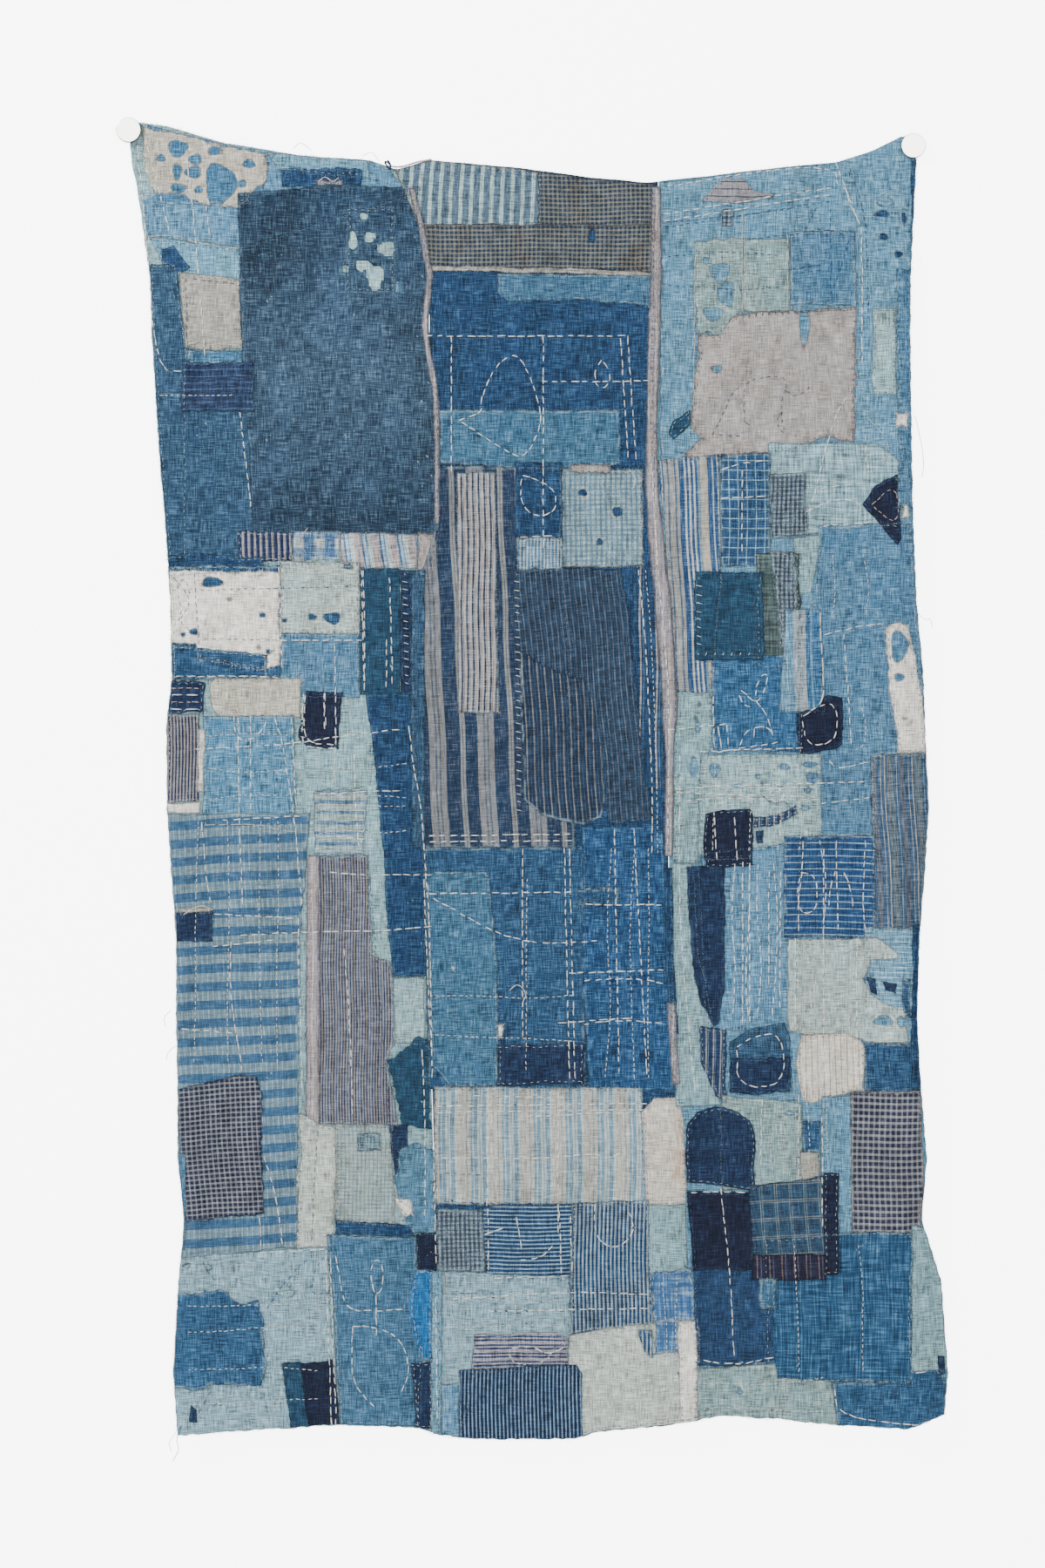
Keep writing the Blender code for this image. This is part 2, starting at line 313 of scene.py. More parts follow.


# Plain-woven hand-spun cotton or hemp, vat-dyed with indigo: matt, cross-hatched by its uneven yarns, cloudy
# where the dye has worn off and with painted pucker shade in the same clouds, paler at rubbed edges,
#  and darkened by a painted shadow along each patch's outermost edge.
def clothFinish(name, changes):
    spec = {**clothDefaults, **changes}
    material = bpy.data.materials.new(name)
    material.use_nodes = True
    tree = material.node_tree
    shader = tree.nodes["Principled BSDF"]
    uv = add(tree, "UVMap", uv_map="thread")[0]
    yarn = spec["yarn"] * mm
    warpYarn, weftYarn = (
        add(tree, "TexNoise", {
            "Vector": add(tree, "VectorMath", {0: uv, 1: scale}, operation="MULTIPLY")[0],
            "Scale": 1.0, "Detail": 2.0, "Roughness": 0.65}, noise_dimensions="2D")[0]
        for scale in ((1 / yarn, 1 / (16 * yarn), 0), (1 / (16 * yarn), 1 / yarn, 0)))
    cloud = add(tree, "TexNoise", {
        "Vector": add(tree, "VectorMath", {0: uv, 1: spec["streaks"]}, operation="MULTIPLY")[0],
        "Scale": 1.0, "Detail": 4.0, "Roughness": 0.6}, noise_dimensions="2D")[0]
    smallCloud = add(tree, "TexNoise", {
        "Vector": add(tree, "VectorMath", {0: uv, 1: (3.1, 7.7, 0)}, operation="ADD")[0],
        "Scale": 60.0, "Detail": 3.0, "Roughness": 0.6}, noise_dimensions="2D")[0]
    dip = add(tree, "MapRange", {0: cloud, 1: 0.35, 2: 0.65})[0]
    first, second = (dyed(shade) for shade in spec["shades"])
    colour = add(tree, "MixRGB", {0: dip, 1: first, 2: second})[0]
    split = add(tree, "SeparateXYZ", {0: uv})
    for way, axis, yarnNoise in (("warp", 0, weftYarn), ("weft", 1, warpYarn)):
        if spec[way] is None:
            continue
        period, bands = spec[way]
        turns = add(tree, "Math", {0: split[axis], 1: 1 / (period * mm)}, operation="MULTIPLY")[0]
        turns = add(tree, "Math", {0: yarnNoise, 1: 0.7 / period, 2: turns}, operation="MULTIPLY_ADD")[0]
        turns = add(tree, "Math", {0: turns}, operation="FRACT")[0]
        ramp = add(tree, "ValToRGB", {0: turns})
        stops = ramp[0].node.color_ramp
        stops.interpolation = "CONSTANT"
        while len(stops.elements) < len(bands):
            stops.elements.new(0.5)
        while len(stops.elements) > len(bands):
            stops.elements.remove(stops.elements[-1])
        for stop, (share, shade) in zip(stops.elements, bands):
            stop.position = share
            stop.color = dyed(shade) if shade else (0, 0, 0, 0)
        cover = add(tree, "Math", {0: ramp[1], 1: spec[way + "Share"]}, operation="MULTIPLY")[0]
        colour = add(tree, "MixRGB", {0: cover, 1: colour, 2: ramp[0]})[0]
    if spec["stain"]:
        shade, amount = spec["stain"]
        cover = add(tree, "MapRange", {0: cloud, 1: 0.52, 2: 0.70, 4: amount})[0]
        colour = add(tree, "MixRGB", {0: cover, 1: colour, 2: dyed(shade)}, blend_type="MULTIPLY")[0]
    if spec["fade"]:
        shade, start, half, amount = spec["fade"]
        place = add(tree, "Math", {0: split[1], 1: start}, operation="SUBTRACT")[0]
        place = add(tree, "Math", {0: place, 1: half}, operation="PINGPONG")[0]
        cover = add(tree, "Math", {0: place, 1: amount / half}, operation="MULTIPLY")[0]
        colour = add(tree, "MixRGB", {0: cover, 1: colour, 2: dyed(shade)})[0]
    slub = add(tree, "Math", {0: warpYarn, 1: weftYarn}, operation="ADD")[0]
    shade, amount = spec["worn"]
    rubbed = add(tree, "MapRange", {0: slub, 1: 1.0, 2: 1.22})[0]
    where = add(tree, "MapRange", {0: smallCloud, 1: 0.34, 2: 0.70, 3: 0.25, 4: 0.65})[0]
    rubbed = add(tree, "Math", {0: rubbed, 1: where}, operation="MULTIPLY")[0]
    rubbed = add(tree, "Math", {0: rubbed, 1: amount}, operation="MULTIPLY")[0]
    colour = add(tree, "MixRGB", {0: rubbed, 1: colour, 2: dyed(shade)})[0]
    shade, amount = spec["rim"]
    fromEdge = add(tree, "Attribute", attribute_name="rim")[2]
    rim = add(tree, "MapRange", {0: fromEdge, 1: 4.5 * mm, 2: 1.2 * mm, 3: 0.0, 4: amount})[0]
    where = add(tree, "MapRange", {0: smallCloud, 1: 0.38, 2: 0.58})[0]
    rim = add(tree, "Math", {0: rim, 1: where}, operation="MULTIPLY")[0]
    colour = add(tree, "MixRGB", {0: rim, 1: colour, 2: dyed(shade)})[0]
    yarnTone = add(tree, "Math", {0: slub, 1: spec["slub"], 2: 1.0 - spec["slub"] - 0.68 * spec["cloud"]},
                   operation="MULTIPLY_ADD")[0]
    # Tone: the yarn's unevenness and the clouds of wear. The small clouds are also the pucker bump's height,
    # so their term adds a painted pucker shade, lighter where it rises and darker in its hollows.
    cloudTone = add(tree, "Math", {0: cloud, 1: spec["cloud"], 2: yarnTone}, operation="MULTIPLY_ADD")[0]
    tone = add(tree, "Math", {0: smallCloud, 1: 0.36 * spec["cloud"], 2: cloudTone},
               operation="MULTIPLY_ADD")[0]
    # Painted shadow: over the last 2 mm to a patch's edge the colour is darkened, standing in for the shade
    # that the turned edge casts.
    turned = add(tree, "MapRange", {0: fromEdge, 1: 0.4 * mm, 2: 1.9 * mm, 3: 1 - spec["paintedEdgeShade"], 4: 1.0})[0]
    tone = add(tree, "Math", {0: tone, 1: turned}, operation="MULTIPLY")[0]
    tone = add(tree, "Math", {0: tone, 1: 0.2}, operation="MAXIMUM")[0]
    colour = add(tree, "HueSaturation", {"Value": tone, "Color": colour})[0]
    tree.links.new(colour, shader.inputs["Base Color"])
    creases = add(tree, "TexNoise", {"Vector": uv, "Scale": 24.0, "Detail": 3.0, "Distortion": 0.5},
                  noise_dimensions="2D", noise_type="RIDGED_MULTIFRACTAL")[0]
    creased = add(tree, "Bump", {"Strength": 0.6, "Distance": 1.5 * mm, "Height": creases})[0]
    puckered = add(tree, "Bump", {"Strength": 0.9, "Distance": 3.2 * mm, "Height": smallCloud,
                                  "Normal": creased})[0]
    bump = add(tree, "Bump", {"Strength": 0.8, "Distance": 0.7 * mm, "Height": slub, "Normal": puckered})[0]
    tree.links.new(bump, shader.inputs["Normal"])
    shader.inputs["Roughness"].default_value = 0.92
    shader.inputs["Specular IOR Level"].default_value = 0.25
    shader.inputs["Sheen Weight"].default_value = 0.12
    shader.inputs["Sheen Roughness"].default_value = 0.5
    return material


def evenStripes(period, share, dark, pale):  # one dark and one pale stripe in each period
    return period, [(0.0, dark), (share, pale)]


navyWorn = ("6f8ba3", 0.22)
navyRim = ("5d7a96", 0.30)
cloths = {
    # plain dips of indigo, palest to darkest
    "paleSky": {"shades": ("75a2b6", "6a99b1")},
    "paleIndigo": {"shades": ("6d9ab2", "5f8faa")},
    "greyTeal": {"shades": ("93b2b6", "86a8b0"), "worn": ("b9cbc9", 0.35)},
    "paleTeal": {"shades": ("a0bbbd", "93b1b7"), "worn": ("c2d0cb", 0.4)},
    "paleMist": {"shades": ("92afba", "86a5b2"), "worn": ("b9cbcc", 0.4)},
    "skyBlue": {"shades": ("5c8fac", "5083a2")},
    "lightBlue": {"shades": ("6391ad", "5785a3")},
    "midIndigo": {"shades": ("5b86a3", "4a7694"), "worn": ("93b3c0", 0.55)},
    "midBlue": {"shades": ("4d7d9c", "406f90"), "worn": ("8bacbc", 0.55)},
    "slateBlue": {"shades": ("4a7490", "406884"), "worn": ("7f9fb2", 0.5)},
    "tealBlue": {"shades": ("46728d", "3d6784"), "worn": ("86a5b2", 0.5)},
    "seaGrey": {"shades": ("5f8ba3", "4f7a94"), "worn": ("8aa7ae", 0.35), "cloud": 1.3},
    "deepTeal": {"shades": ("2a4f69", "22445c"), "worn": ("4f7788", 0.4), "rim": ("4f7788", 0.3)},
    "deepIndigo": {"shades": ("25496b", "1d3e60"), "worn": ("5e87a4", 0.5), "rim": ("5e87a4", 0.4),
        "cloud": 1.4},
    "deepMid": {"shades": ("375872", "2d4c67"), "worn": ("7295ac", 0.5), "rim": ("7295ac", 0.4)},
    "blotchBlue": {"shades": ("29557d", "1f476d"), "worn": ("6d9ab8", 0.6), "rim": ("6d9ab8", 0.4),
        "cloud": 1.7},
    "brightBlue": {"shades": ("3078ac", "276ba0"), "worn": ("5f9cc4", 0.3)},
    "dimBlue": {"shades": ("30577a", "284d6c"), "worn": ("7499b0", 0.5), "cloud": 1.2},
    "rubbedIndigo": {"shades": ("355f82", "2d5676"), "worn": ("7499b0", 0.5), "cloud": 1.2},
    "navy": {"shades": ("213858", "1b2d4a"), "worn": navyWorn, "rim": navyRim, "cloud": 1.2},
    "nightBlue": {"shades": ("2c4b6c", "254162"), "worn": navyWorn, "rim": navyRim, "cloud": 1.4},
    "checkShade": {"shades": ("74898c", "6b8186"), "warp": (4.4, [(0, ""), (0.5, "4d6a7a")]),
        "weft": (4.4, [(0, ""), (0.5, "4d6a7a")]), "warpShare": 0.7, "weftShare": 0.5},
    "flowerBlue": {"shades": ("3a698e", "305e83"), "worn": ("7fa4bb", 0.5), "cloud": 1.2},
    "stoneCream": {"shades": ("c3c0b2", "b8b6a9"), "worn": ("d3d0c3", 0.4), "rim": ("dcd8ca", 0.5),
        "slub": 1.8},
    "blueGreyCheck": {"shades": ("a3b6b5", "98adb0"), "warp": (6.6, [(0, ""), (0.52, "54778d")]),
        "weft": (6.6, [(0, ""), (0.52, "54778d")]), "warpShare": 0.8, "weftShare": 0.62, "slub": 1.3,
        "rim": ("c9c9ba", 0.5)},
    "warmHemp": {"shades": ("c3beb1", "b6b1a6"), "worn": ("d3cfc2", 0.4), "rim": ("dcd8ca", 0.5),
        "slub": 1.8},
    "windowStripe": {"shades": ("9a9496", "908c90"), "slub": 1.0, "weft": (9.5, [(0, ""), (0.72, "27344f"),
        (0.86, "")])},
    "pinkNavyStripe": {"shades": ("22335a", "1e2d4e"), "worn": ("6a8096", 0.25), "rim": navyRim,
        "warp": (7.6, [(0, ""), (0.48, "a39a98"), (0.84, "56627e")])},
    "fineBeigePin": {"shades": ("a09a98", "969294"), "worn": ("b9b6b2", 0.3), "slub": 1.2,
        "warp": (4.2, [(0, ""), (0.46, "2b3854")])},
    "wornNavy": {"shades": ("1f3850", "2b4761"), "worn": ("84a0ae", 0.38), "rim": ("5d7f95", 0.5),
        "cloud": 0.9, "streaks": (7, 5, 0), "slub": 2.5, "fade": ("5c7488", 0.06, 0.25, 0.3)},
    "blackNavy": {"shades": ("1d2742", "181f37"), "worn": ("4f6683", 0.22), "rim": ("4b5f7a", 0.3)},
    # undyed and faintly dyed hemp and cotton
    "creamHemp": {"shades": ("f4f1e8", "ebe9e0"), "worn": ("f0eee6", 0.5), "rim": ("f2efe6", 0.5),
        "slub": 1.7},
    "creamGreen": {"shades": ("b3c2bd", "a3b6b6"), "worn": ("cfd6cc", 0.5), "rim": ("d8dace", 0.5),
        "slub": 2.0},
    "mossGrey": {"shades": ("93a9a8", "819da1"), "worn": ("b9c6be", 0.5), "rim": ("c4ccc2", 0.4)},
    "greyCream": {"shades": ("aeaca3", "a3a39c"), "worn": ("c4c2b8", 0.4), "rim": ("d2cdbf", 0.5),
        "slub": 1.6},
    "paleCream": {"shades": ("c5ccc4", "b4c3c0"), "worn": ("dcddd0", 0.5), "rim": ("e0dfd2", 0.5),
        "slub": 1.8, "stain": ("c9a985", 0.5)},
    "stainedCream": {"shades": ("d9d3c8", "cfcabf"), "worn": ("e9e4d8", 0.4), "rim": ("d7e0de", 0.4),
        "slub": 1.6, "stain": ("d8a67c", 0.55)},
    "selvedge": {"shades": ("b0a5a2", "9c98a0"), "worn": ("cbbfb6", 0.5), "rim": ("5b6d88", 0.5), "slub": 1.4,
        "warp": (9, [(0, ""), (0.3, "737890"), (0.38, ""), (0.62, "c4bdb4"), (0.8, "8a8794"), (0.86, "")])},
    "pinkBeige": {"shades": ("b8aca4", "a9a4a0"), "worn": ("cdc5ba", 0.4), "rim": ("8f6f68", 0.35),
        "warp": evenStripes(3.4, 0.55, "", "9fa3a4"), "weft": evenStripes(3.4, 0.55, "", "9fa3a4"),
        "warpShare": 0.5, "weftShare": 0.5, "slub": 1.4},
    # stripes along the warp
    "greyStripe": {"shades": ("5c7484", "566c7d"), "warp": (13.2, [(0, ""), (0.62, "a3b8b8")]),
        "worn": ("93a9ae", 0.3), "rim": ("b3ab98", 0.5)},
    "wideStripe": {"shades": ("878889", "7d8187"), "worn": ("b5b3aa", 0.3), "slub": 1.3,
        "warp": (63, [(0, ""), (0.12, "5a6675"), (0.155, ""), (0.20, "5a6675"), (0.235, ""), (0.34, "213d5a"),
        (0.64, "8a8c8c"), (0.68, "626a74"), (0.70, "8a8c8c"), (0.745, "203b58")])},
    "narrowStripe": {"shades": ("b3aaa4", "a8a29e"), "slub": 1.4, "warp": (7.4, [(0, ""), (0.44, "27344f"),
        (0.74, "8f8f94"), (0.80, ""), (0.90, "5f6b80")])},
    "finePin": {"shades": ("a9b6b8", "9cacb2"), "warp": (4.4, [(0, ""), (0.52, "3f6c8e")])},
    "navyPin": {"shades": ("28425a", "23394f"), "worn": ("5c7389", 0.3), "rim": navyRim,
        "warp": (7.0, [(0, ""), (0.42, "3f5368"), (0.50, ""), (0.76, "5b6370")])},
    "beigePin": {"shades": ("283e57", "22344b"), "worn": ("4f687f", 0.3), "warp": (9.6, [(0, ""),
        (0.26, "465769"), (0.34, ""), (0.72, "817f7e"), (0.87, "35465a")])},
    "deepLined": {"shades": ("2a4b6d", "244260"), "worn": ("5d7f9d", 0.3), "rim": navyRim,
        "warp": (21, [(0, ""), (0.60, "a59f9d"), (0.70, ""), (0.82, "5d7f9d"), (0.86, "")])},
    "creamBlueStripe": {"shades": ("bbbab0", "b2b3ad"), "worn": ("d7d4c8", 0.4), "slub": 1.5,
        "warp": (41, [(0, ""), (0.12, "a3a6a4"), (0.15, ""), (0.26, "8a979e"), (0.30, ""), (0.40, "7798aa"),
        (0.47, "afbec2"), (0.51, "7798aa"), (0.62, "b4bdbb"), (0.68, "8da4ae"), (0.72, "b4bdbb"),
        (0.77, "7798aa"), (0.90, "b5c2c3"), (0.97, "")])},
    "uprightStripe": {"shades": ("2a5782", "244c72"), "worn": ("6f93b0", 0.25), "warp": (5.2, [(0, ""),
        (0.30, "172a4a"), (0.54, "92a2a9")])},
    "hemStripe": {"shades": ("1b2f4d", "172842"), "worn": ("5a7694", 0.2), "rim": navyRim,
        "warp": (5.0, [(0, ""), (0.64, "7b9bb5")])},
    "dullStripe": {"shades": ("2d4567", "263a58"), "worn": ("6a8096", 0.25), "rim": navyRim,
        "warp": (9.5, [(0, ""), (0.42, "9a9a98"), (0.60, ""), (0.74, "6b8194"), (0.82, "")])},
    "pinkBlueStripe": {"shades": ("b0a6a6", "a8a2a5"), "worn": ("c0bcbb", 0.3), "warp": (23, [(0, ""),
        (0.42, "447199"), (0.52, "a3bccb"), (0.68, "5a88ad"), (0.74, "b9c4c6")])},
    "pinPatch": {"shades": ("949091", "888a8f"), "worn": ("b5b6b0", 0.3), "slub": 1.6,
        "warp": (14.4, [(0, ""), (0.12, "34435f"), (0.25, ""), (0.37, "34435f"), (0.50, "8b857f"),
        (0.62, "2f3e5b"), (0.75, ""), (0.87, "4b5b75")])},
    "creamPinline": {"shades": ("e4dccf", "d8d4c8"), "worn": ("eee9de", 0.4), "rim": ("e6e6dc", 0.5),
        "slub": 1.4, "warp": (7.6, [(0, ""), (0.86, "98908a")])},
    "beigeBlueStripe": {"shades": ("a9a9a6", "9fa2a2"), "worn": ("cbcac1", 0.4), "slub": 1.3,
        "warp": (73, [(0, ""), (0.06, "56708a"), (0.09, ""), (0.19, "56708a"), (0.22, ""), (0.27, "2a5a86"),
        (0.36, "c6cac6"), (0.395, "2a5a86"), (0.44, "c6cac6"), (0.475, "2a5a86"), (0.52, "c6cac6"),
        (0.555, "2a5a86"), (0.60, "7f96a4"), (0.65, "b5b0a5"), (0.78, "2a5a86"), (0.86, "b5bfc2"),
        (0.885, "2a5a86"), (0.95, "c6cac6"), (0.97, "2a5a86")])},
    "brownStripe": {"shades": ("4b6681", "425b76"), "worn": ("8a9ba6", 0.3), "warp": (36, [(0, "b3aa9b"),
        (0.035, ""), (0.10, "67747c"), (0.34, ""), (0.42, "8795a0"), (0.45, ""), (0.55, "626873"), (0.72, ""),
        (0.86, "a8a79f"), (0.885, "")])},
    "shadowStripe": {"shades": ("6f9bb5", "6190ac"), "worn": ("a9bcc0", 0.4), "warp": (58, [(0, ""),
        (0.14, "8fb2c2"), (0.17, ""), (0.30, "9fabb2"), (0.58, "3d7097"), (0.68, "7ba3bc"),
        (0.72, "3d7097")])},
    "streakBlue": {"shades": ("2c587d", "254c6d"), "worn": ("6f98ae", 0.6), "yarn": 2.2, "slub": 1.8,
        "warp": (9, [(0, ""), (0.25, "3a6888"), (0.4, ""), (0.55, "2a4d66"), (0.7, ""), (0.85, "45728d")]),
        "warpShare": 0.55},
    "streakPale": {"shades": ("93b1b8", "86a8b3"), "worn": ("b3c6c8", 0.5), "yarn": 2.2, "warp": (8, [(0, ""),
        (0.4, "a3b9b6"), (0.6, ""), (0.8, "7fa2b0")]), "warpShare": 0.5},
    # bands along the weft
    "banded": {"shades": ("758f9b", "6b8695"), "worn": ("a0b0b2", 0.3), "warp": (6.9, [(0, ""),
        (0.80, "a3b2b4")]), "weft": (23.5, [(0, ""), (0.22, "5f8199"), (0.26, ""), (0.50, "315f83")]),
        "weftShare": 0.9, "warpShare": 0.8, "slub": 1.2},
    "navyRow": {"shades": ("24466a", "1f3c5d"), "worn": ("6c86a0", 0.25), "rim": navyRim,
        "weft": (5.3, [(0, ""), (0.66, "8aa9ba")])},
    "pinkRow": {"shades": ("a9a2a4", "9f9ba0"), "worn": ("c0bcbb", 0.3), "weft": (10.8, [(0, ""),
        (0.2, "29466f"), (0.42, ""), (0.60, "22365a"), (0.82, "8d97a8"), (0.9, "")])},
    "wrinkledNavy": {"shades": ("2b3f60", "243552"), "worn": ("6a7f96", 0.3), "rim": navyRim,
        "weft": (8.5, [(0, ""), (0.7, "4c617d"), (0.85, "")])},
    "lineBlue": {"shades": ("2a527d", "244971"), "worn": ("6d93b0", 0.3), "weft": (8.5, [(0, ""),
        (0.85, "94adbd")])},
    "linePale": {"shades": ("6f9bb3", "648fa9"), "weft": (6.6, [(0, ""), (0.80, "9dbbc8")])},
    "tornBand": {"shades": ("9fb0ad", "93a6a8"), "weft": (27, [(0, ""), (0.15, "3a6c94"), (0.32, ""),
        (0.66, "3a6c94"), (0.8, "")]), "weftShare": 0.8},
    # checks, where warp and weft stripes cross
    "tanCheck": {"shades": ("7b7767", "6c6a5b"), "warp": (5.9, [(0, "8a9088"), (0.45, "303e54")]),
        "weft": (5.9, [(0, "7f7f70"), (0.40, "202f4e")]), "weftShare": 0.64, "slub": 1.3,
        "worn": ("9fb0ac", 0.2), "rim": ("35496a", 0.5), "stain": ("c79a6a", 0.5)},
    "greyGreenCheck": {"shades": ("adb5a8", "a5b0a9"), "warp": (5.2, [(0, ""), (0.58, "728a94")]),
        "weft": (5.2, [(0, ""), (0.58, "728a94")]), "warpShare": 0.75, "weftShare": 0.6, "slub": 1.2,
        "rim": ("c9c9ba", 0.5)},
    "brownNavyCheck": {"shades": ("1f2845", "272d49"), "warp": (6.6, [(0, "1f2743"), (0.66, "979a9f")]),
        "weft": (6.4, [(0, "1f2743"), (0.64, "979a9f")]), "weftShare": 0.55, "slub": 1.3,
        "worn": ("a9a8a4", 0.2), "rim": ("262f50", 0.6)},
    "brownCheck": {"shades": ("3c455c", "353d55"), "warp": (7.0, [(0, "29324d"), (0.64, "9fa2a5")]),
        "weft": (8.2, [(0, "272d46"), (0.62, "9d9d9f")]), "weftShare": 0.6, "slub": 1.2,
        "worn": ("a9a8a6", 0.2), "rim": ("d0cabf", 0.4)},
    "gingham": {"shades": ("b9c1c2", "afbbc0"), "warp": (27, [(0, ""), (0.5, "3f6d98")]),
        "weft": (25, [(0, ""), (0.5, "3f6d98")]), "warpShare": 0.9, "weftShare": 0.7},
    "smallCheck": {"shades": ("8f9fa5", "84939c"), "warp": (5.9, [(0, ""), (0.45, "182643")]),
        "weft": (5.9, [(0, ""), (0.45, "182643")]), "warpShare": 0.8, "weftShare": 0.6, "slub": 1.0},
    "darkPlaid": {"shades": ("36556d", "304d64"), "worn": ("5c7886", 0.25), "rim": ("20263e", 0.6),
        "warp": (19, [(0, ""), (0.35, "7d8788"), (0.41, ""), (0.5, "7d8788"), (0.55, ""), (0.8, "38455a"),
        (0.92, "")]), "weft": (23, [(0, ""), (0.42, "8b8d89"), (0.47, ""), (0.54, "8b8d89"), (0.58, "")]),
        "warpShare": 0.75, "weftShare": 0.7},
    "plaidHem": {"shades": ("2a2b42", "232640"), "worn": ("5f5f72", 0.2), "rim": ("1c2036", 0.6),
        "warp": (16, [(0, ""), (0.4, "8a7672"), (0.5, ""), (0.7, "5c6070"), (0.8, "")]), "warpShare": 0.7},
    "gridBlue": {"shades": ("34597b", "2d5072"), "worn": ("6d94ad", 0.3), "cloud": 1.2,
        "warp": (11.5, [(0, ""), (0.90, "8fb0c0")]), "weft": (12.5, [(0, ""), (0.91, "8fb0c0")])},
    "mossCheck": {"shades": ("505f60", "475859"), "worn": ("7d8c8a", 0.5), "rim": ("87938f", 0.5),
        "slub": 1.9, "yarn": 2.6},
    "mottled": {"shades": ("4f7ba6", "3f6a98"), "worn": ("b9cdd3", 0.85), "rim": ("b3c6ca", 0.6), "yarn": 2.8,
        "slub": 0.8},
}
materials = {name: clothFinish(name, changes) for name, changes in cloths.items()}
print("cloth finishes made:", len(materials))

patchMake = {
    "cell": 0.0036,  # grid step of a patch
    "rimStep": 0.0011,  # the first step in from its edge
    "ragStep": 0.005,  # from one tooth of a ragged edge to the next
    "waveStep": 0.03,  # and from one long wave to the next
    "rag": 0.9,  # mm of ragged edge
    "cutSlack": 0.0012,  # how far a straight cut wanders
}


# A patch with four sides between the points of its outline that lie furthest out on the diagonals.
def fourSides(outline):
    if isinstance(outline, dict):  # a strip: x, drop and width down its middle
        x, drop, width = np.array(outline["strip"], float).T * cm
        left, right = np.stack((x - width / 2, drop), -1), np.stack((x + width / 2, drop), -1)
        return np.stack((left[0], right[0])), right, np.stack((left[-1], right[-1])), left
    points = np.array(outline, float) * cm
    if points.ndim == 1:  # left, top, right, bottom
        left, top, right, bottom = points
        points = np.array(((left, top), (right, top), (right, bottom), (left, bottom)))
        points += random.uniform(-1, 1, points.shape) * patchMake["cutSlack"]
    size = np.ptp(points, axis=0)
    corner = [int(np.argmax((points / size) @ way)) for way in ((-1, -1), (1, -1), (1, 1), (-1, 1))]
    sides = []
    for start, end in zip(corner, corner[1:] + corner[:1]):
        count = (end - start) % len(points)
        sides.append(points[[(start + i) % len(points) for i in range(count + 1)]])
    top, right, bottom, left = sides
    return top, right, bottom[::-1], left[::-1]


def squareTo(way):  # a unit vector square to each direction
    return np.stack((way[:, 1], -way[:, 0]), -1) / np.maximum(np.hypot(*way.T), 1e-9)[:, None]


# A side at the given shares of its length, waved and ragged across its run.
def raggedSide(side, shares, rag):
    step = np.hypot(*np.diff(side, axis=0).T)
    run = np.concatenate(((0,), np.cumsum(step)))
    place = shares * run[-1]
    line = np.stack([np.interp(place, run, side[:, i]) for i in (0, 1)], axis=-1)
    wave = waver(run[-1], patchMake["ragStep"], len(shares))
    wave = wave + 1.3 * waver(run[-1], patchMake["waveStep"], len(shares))
    wave = wave * np.minimum(1, 8 * np.minimum(shares, 1 - shares))
    return line + squareTo(np.gradient(line, axis=0)) * (wave * rag * mm)[:, None]


def gridShares(length):  # even steps with a short first and last one
    count = max(int(length / patchMake["cell"]), 3)
    end = min(patchMake["rimStep"] / length, 0.2)
    return np.concatenate(((0,), np.linspace(end, 1 - end, count), (1,)))


